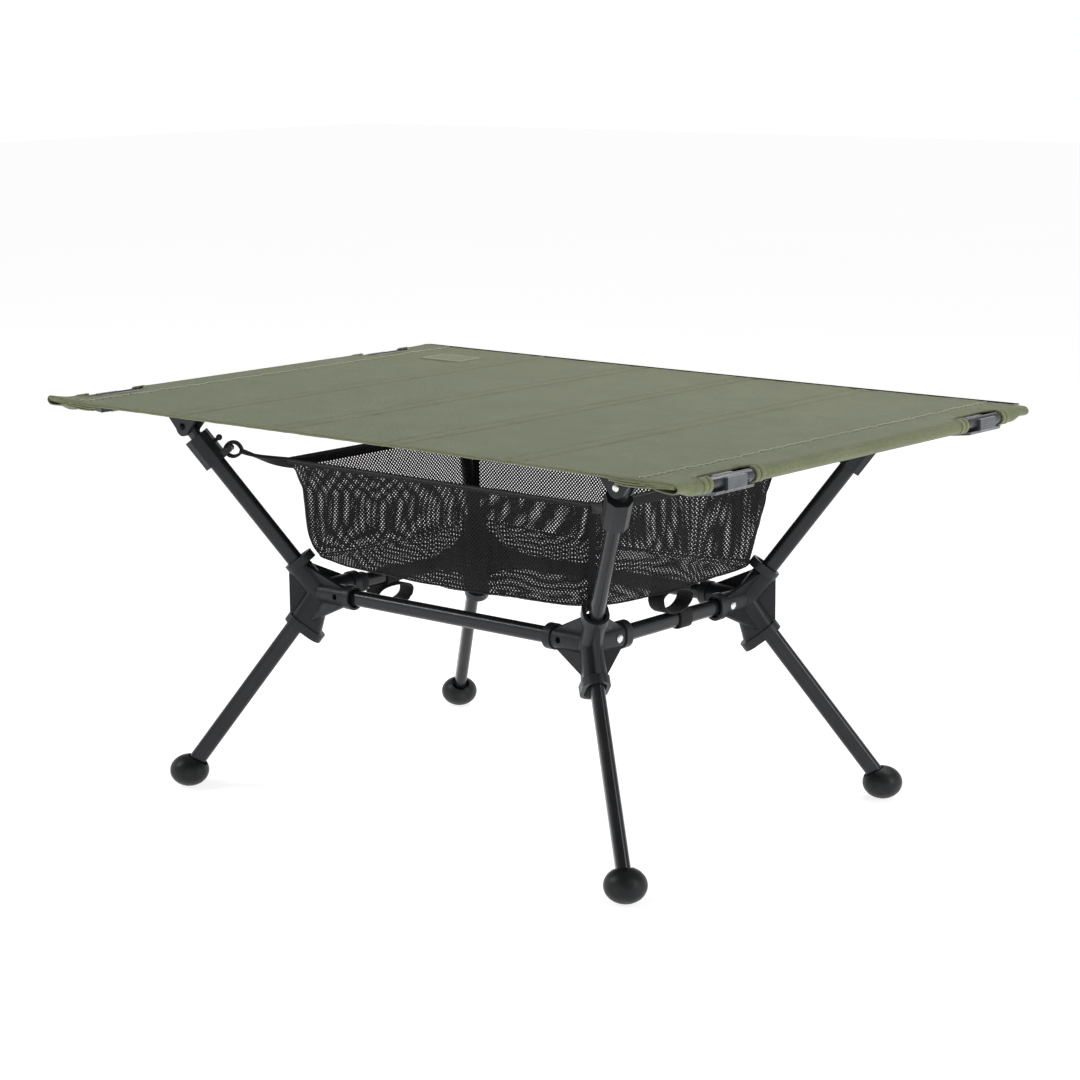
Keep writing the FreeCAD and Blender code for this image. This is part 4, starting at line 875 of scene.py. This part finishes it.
def resampled(grid, rows, columns, closed=False):
    """Cubic samples of a grid of points at fractional rows and columns."""
    def cubic(array, at, axis, wrap):
        """Samples along one axis of the grid."""
        count = array.shape[axis]
        low = np.floor(at).astype(int)
        part = (at - low)
        weights = [-0.5 * part + part ** 2 - 0.5 * part ** 3, 1 - 2.5 * part ** 2 + 1.5 * part ** 3,
                   0.5 * part + 2 * part ** 2 - 1.5 * part ** 3, -0.5 * part ** 2 + 0.5 * part ** 3]
        total = 0
        for offset, weight in zip((-1, 0, 1, 2), weights):
            place = (low + offset) % count if wrap else np.clip(low + offset, 0, count - 1)
            shape = [1] * array.ndim
            shape[axis] = len(at)
            total = total + np.take(array, place, axis=axis) * weight.reshape(shape)
        return total
    half = cubic(grid, np.asarray(rows, float), 0, False)
    return cubic(half, np.asarray(columns, float), 1, closed)


def net_panel(name, grid, width, length, pitch=2.9 * MM):
    """A knitted net over a grid of points: diamond cells, each with an eight-sided hole."""
    across = max(4, int(round(width / (pitch * math.sqrt(2)))))
    down = max(4, int(round(length / (pitch * math.sqrt(2)))))
    rows = np.linspace(0, grid.shape[0] - 1, down * 4 + 1)
    columns = np.linspace(0, grid.shape[1] - 1, across * 4 + 1)
    fine = resampled(grid, rows, columns)
    count = fine.shape[1]
    faces, extra = [], []
    flat = fine.reshape(-1, 3)
    total = len(flat)
    for row in range(0, down * 4 - 1, 2):
        start = 0 if row % 4 == 0 else 2
        for column in range(start, across * 4 - 3, 4):
            corners = [(row, column + 2), (row + 2, column + 4), (row + 4, column + 2), (row + 2, column)]
            if any(r > down * 4 or c > across * 4 for r, c in corners):
                continue
            outer = [r * count + c for r, c in corners]
            points = flat[outer]
            centre = points.mean(0)
            ring = []
            for i in range(4):
                one, two = points[i], points[(i + 1) % 4]
                ring.append(centre + (one * 0.72 + two * 0.28 - centre) * HOLE)
                ring.append(centre + (one * 0.28 + two * 0.72 - centre) * HOLE)
            base = total + len(extra)
            extra.extend(ring)
            for i in range(4):
                a, b = base + 2 * i, base + 2 * i + 1
                previous = base + (2 * i - 1) % 8
                faces.append((outer[i], outer[(i + 1) % 4], b, a))
                faces.append((outer[i], a, previous))
    points = np.concatenate([flat, np.array(extra)])
    used = np.unique(np.concatenate([np.array(face) for face in faces]))
    renumber = np.zeros(len(points), int)
    renumber[used] = np.arange(len(used))
    faces = [tuple(renumber[list(face)]) for face in faces]
    panel = new_piece(name, points[used], faces, "basket_net", "frame")
    return panel


def make_basket():
    """Four walls and a floor of net, hung and then cut into holes, with the rim and the seams."""
    rings, floor = basket_start()
    rings, floor = drape(rings, floor)
    around = rings.shape[1]
    sides = (("front", 0, LONG_CELLS), ("right", LONG_CELLS, SHORT_CELLS),
             ("back", LONG_CELLS + SHORT_CELLS, LONG_CELLS),
             ("left", 2 * LONG_CELLS + SHORT_CELLS, SHORT_CELLS))
    for name, start, cells in sides:
        columns = [(start + cell) % around for cell in range(cells + 1)]
        grid = rings[:, columns]
        net_panel(f"net_{name}", grid, span(grid, 1), span(grid, 0))
    net_panel("net_floor", floor.transpose(1, 0, 2), span(floor, 0), span(floor, 1))
    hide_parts("basket_mesh")
    make_rim(rings)
    make_net_seams(rings)


def span(grid, axis):
    """Mean length of a grid of points along one of its two directions."""
    return float(np.linalg.norm(np.diff(grid, axis=axis), axis=2).sum(axis).mean())


def make_rim(rings):
    """Folded tape round the top of the net: a flat band with a rolled upper edge."""
    ring = resampled(rings[:1].repeat(2, axis=0), [0], np.arange(0, rings.shape[1], 0.5), closed=True)[0]
    centre = ring.mean(0)
    outward = (ring - centre) * (1, 1, 0)
    tape = RIM_HIGH.z - RIM_LOW.z
    band = ring.copy()
    band[:, 2] = RIM_HIGH.z - tape / 2
    section = rounded_section(1.8 * MM, tape, 0.7 * MM)
    rim = swept("rim_tape", band, section, "webbing", "frame", outward, closed=True, material="webbing")
    for point in rim.data.vertices:
        front = min(1.0, max(0.0, (-point.co.y - RIM_Y + 26 * MM) / (20 * MM)))
        point.co.z = RIM_HIGH.z - (RIM_HIGH.z - point.co.z) * (1 - 0.55 * front)
    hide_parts("basket_rim")
    roll = ring.copy()
    roll[:, 2] = RIM_HIGH.z - 1.4 * MM
    swept("rim_roll", roll, rounded_section(3.0 * MM, 3.0 * MM, 1.4 * MM), "webbing", "frame", outward,
          closed=True, material="seam_tape")


def make_net_seams(rings):
    """Thin tape over the seams where the wall panels meet the floor and each other."""
    lower = resampled(rings[-1:].repeat(2, axis=0), [0], np.arange(0, rings.shape[1], 0.5), closed=True)[0]
    outward = (lower - lower.mean(0)) * (1, 1, 0)
    swept("net_seam_floor", lower, rounded_section(1.4 * MM, 1.8 * MM, 0.6 * MM), "webbing", "frame",
          outward, closed=True, material="basket_net")
    corners = (0, LONG_CELLS, LONG_CELLS + SHORT_CELLS, 2 * LONG_CELLS + SHORT_CELLS)
    down = np.linspace(0.3, WALL_CELLS, 40)
    section = rounded_section(7.5 * MM, 1.6 * MM, 0.7 * MM)
    for number, column in enumerate(corners):
        line = resampled(rings, down, [column], closed=True)[:, 0]
        across = resampled(rings, down, [column + 1.0], closed=True)[:, 0] - line
        swept(f"net_seam_corner_{number + 1}", line, section, "webbing", "frame", across,
              material="basket_net")


# ---------------------------------------------------------------- webbing tabs and straps
HOOK = Vector((247.1, 173.5, 351.3)) * MM       # middle of the hook on the back right arm
TAB_FOOT = Vector((199.8, 140.8, 338.6)) * MM   # where that corner's tab is sewn to the rim
TAB_WIDTH, TAB_THICK = 9.6 * MM, 2.6 * MM
EYE_LONG, EYE_TALL = 17 * MM, 14.5 * MM
PLAN = math.radians(38.0)                       # from X to the upright plane of a leg and its arm
# where a strap goes round a strut, and how wide it is there
WRAPS = {"right": ((16 * MM, 18 * MM),), "left": ((-20 * MM, 18 * MM), (-70 * MM, 26 * MM))}


def eye_path(eye, ahead, up):
    """The eye of a tab: an oval in the plane of ahead and up, narrower towards the basket."""
    path = []
    for step in range(44):
        angle = 2 * math.pi * step / 44
        pinch = 1 - 0.28 * max(0.0, -math.cos(angle)) ** 2
        path.append(eye + ahead * math.cos(angle) * EYE_LONG / 2
                    + up * math.sin(angle) * EYE_TALL / 2 * pinch)
    return path


def make_tabs():
    """At each corner a twisted tab of webbing, with an open eye that goes over the arm's hook."""
    eye_section = rounded_section(TAB_WIDTH, TAB_THICK, 0.7 * MM)
    tail_section = rounded_section(TAB_WIDTH + 1.0 * MM, TAB_THICK * 1.4, 0.9 * MM)
    for x_side, y_side, corner in CORNERS:
        flip = Vector((x_side, y_side, 1))
        hook, foot = HOOK * flip, TAB_FOOT * flip
        tangent = Vector((-math.sin(PLAN) * x_side, math.cos(PLAN) * y_side, 0))
        ahead = hook - foot
        ahead = (ahead - tangent * ahead.dot(tangent)).normalized()
        up = ahead.cross(tangent).normalized()
        if up.z < 0:
            up = -up
        eye = hook - ahead * (EYE_LONG / 2 - 4.4 * MM)
        swept(f"tab_eye_{corner}", eye_path(eye, ahead, up), eye_section, "webbing", "frame",
                          tangent, closed=True)
        neck = eye - ahead * (EYE_LONG / 2 - 1.5 * MM)
        line, sides = [], []
        for share in np.linspace(0, 1, 26):
            ease = share * share * (3 - 2 * share)
            sag = -2.2 * MM * math.sin(math.pi * share)
            line.append(neck.lerp(foot - ahead * 9 * MM, share) + Vector((0, 0, sag)))
            turn = math.radians(78) * ease
            sides.append(tangent * math.cos(turn) + up * math.sin(turn))
        swept(f"tab_tail_{corner}", line, tail_section, "webbing", "frame", sides)
        rows = []
        for offset in (-3.2 * MM, 3.2 * MM):
            places = [Vector(line[i]) + Vector(sides[i]) * offset + up * 1.4 * MM for i in range(1, 7)]
            rows.append((places, [up] * len(places)))
        stitches(f"tab_stitching_{corner}", rows, 1.8 * MM, 0.6 * MM, "webbing", "frame",
                 material="seam_tape")
    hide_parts("basket_tabs")


def band_round(name, centre, half_long, half_tall, squareness, lift, first, last, closed, wide):
    """A strip of webbing that follows a slack oval in an upright plane along Y."""
    shares = np.linspace(first, last, 72, endpoint=not closed)
    path = []
    for share in shares:
        angle = 2 * math.pi * share
        level, rise = math.cos(angle), math.sin(angle)
        slack = 1 + 0.03 * math.sin(3 * angle + centre.y * 90)
        y = math.copysign(abs(level) ** squareness, level) * (half_long + lift) * slack
        z = math.copysign(abs(rise) ** squareness, rise) * (half_tall + lift)
        sway = 1.2 * MM * math.sin(2 * angle)
        path.append((centre.x + sway, centre.y + y, centre.z + z))
    return swept(name, path, rounded_section(wide, 1.7 * MM, 0.7 * MM), "webbing", "frame", ALONG_X,
                 closed=closed)


def make_straps():
    """Hook-and-loop straps on the short struts: a slack loop with an overlapping end, and a wrap."""
    for side, tail_start in (("right", 0.12), ("left", 0.62)):
        node = f"strap_{side}"
        low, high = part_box(node)
        centre = (low + high) / 2
        half_long, half_tall = (high.y - low.y) / 2 - 0.9 * MM, (high.z - low.z) / 2 - 0.9 * MM
        wide = high.x - low.x - 1 * MM
        loop = band_round(f"{node}_loop", centre, half_long, half_tall, 0.86, 0.0, 0, 1, True, wide)
        band_round(f"{node}_end", centre, half_long, half_tall, 0.86, 1.9 * MM, tail_start,
                   tail_start + 0.27, False, wide - 2 * MM)
        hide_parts(node)
        strut_low, strut_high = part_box(f"short_strut_{side}")
        strut = (strut_low + strut_high) / 2
        half_x = (strut_high.x - strut_low.x) / 2 + 1.1 * MM
        half_z = (strut_high.z - strut_low.z) / 2 + 1.1 * MM
        for number, (y, width) in enumerate(WRAPS[side]):
            path = []
            for step in range(40):
                angle = 2 * math.pi * step / 40
                level, rise = math.cos(angle), math.sin(angle)
                path.append((strut.x + math.copysign(abs(level) ** 0.6, level) * half_x, y,
                             strut.z + math.copysign(abs(rise) ** 0.75, rise) * half_z))
            swept(f"strap_wrap_{side}_{number + 1}", path, rounded_section(width, 1.8 * MM, 0.7 * MM),
                  "webbing", "frame", ALONG_Y, closed=True)


# ---------------------------------------------------------------- stage, lights and camera
def make_stage():
    """A pale floor, and a white sky that is brightest near the horizon."""
    mesh = bpy.data.meshes.new("floor")
    work = bmesh.new()
    bmesh.ops.create_grid(work, x_segments=8, y_segments=8, size=12.0)
    work.to_mesh(mesh)
    work.free()
    floor = bpy.data.objects.new("floor", mesh)
    bpy.context.scene.collection.objects.link(floor)
    recipe = Recipe("floor_paper", Roughness=0.9, Specular_IOR_Level=0.0, Emission_Strength=0.8)
    recipe.shader.inputs["Emission Color"].default_value = (1, 1, 1, 1)
    recipe.feed("Base Color", recipe.mix(recipe.noise(0.6), (0.52, 0.52, 0.52, 1), (0.56, 0.56, 0.56, 1)))
    mesh.materials.append(recipe.material)

    world = bpy.data.worlds.new("studio")
    world.use_nodes = True
    nodes, links = world.node_tree.nodes, world.node_tree.links
    direction = nodes.new("ShaderNodeTexCoord").outputs["Generated"]
    split = nodes.new("ShaderNodeSeparateXYZ")
    links.new(direction, split.inputs[0])
    fade = nodes.new("ShaderNodeMapRange")
    fade.inputs["From Min"].default_value = 0.12
    fade.inputs["From Max"].default_value = 0.55
    fade.inputs["To Min"].default_value = 1.02
    fade.inputs["To Max"].default_value = 0.22
    links.new(split.outputs["Z"], fade.inputs["Value"])
    links.new(fade.outputs[0], nodes["Background"].inputs["Strength"])
    nodes["Background"].inputs["Color"].default_value = (1, 1, 1, 1)
    bpy.context.scene.world = world
    bpy.context.scene.view_settings.view_transform = "Standard"


def make_light(name, place, size, watts):
    """A soft rectangular lamp aimed at the middle of the table."""
    data = bpy.data.lights.new(name, "AREA")
    data.shape = "RECTANGLE"
    data.size, data.size_y = size
    data.energy = watts
    lamp = bpy.data.objects.new(name, data)
    lamp.location = place
    aim = Vector((0, 0, 0.25)) - Vector(place)
    lamp.rotation_euler = aim.to_track_quat("-Z", "Y").to_euler()
    bpy.context.scene.collection.objects.link(lamp)


def make_camera():
    """The photographer's view: in front and to the right, a little above the top."""
    place = (1.6818, -1.9299, 0.7761)
    heading, down_tilt, roll = math.radians(40.837), 11.385, math.radians(-0.515)
    data = bpy.data.cameras.new("camera")
    data.sensor_width = 36.0
    data.lens = 87.10
    camera = bpy.data.objects.new("camera", data)
    camera.matrix_world = (Matrix.Translation(place) @ Matrix.Rotation(heading, 4, "Z")
                           @ Matrix.Rotation(math.radians(90 - down_tilt), 4, "X")
                           @ Matrix.Rotation(roll, 4, "Z"))
    bpy.context.scene.collection.objects.link(camera)
    bpy.context.scene.camera = camera


def main():
    """Dress the frame, make every soft piece, and set the studio round them."""
    dress_frame()
    top = make_top()
    on_top = make_notch_bindings() + make_top_stitching() + make_hems() + make_label()
    on_top += make_corner_layers() + make_sleeve_mouths()
    make_basket()
    make_tabs()
    make_straps()
    make_stage()
    make_light("key", (-2.0, -1.5, 2.0), (0.8, 1.4), 26)
    make_light("side", (2.6, 0.6, 1.4), (0.7, 2.0), 22)
    make_light("overhead", (0.1, 1.0, 1.7), (1.4, 0.8), 14)
    make_camera()


main()
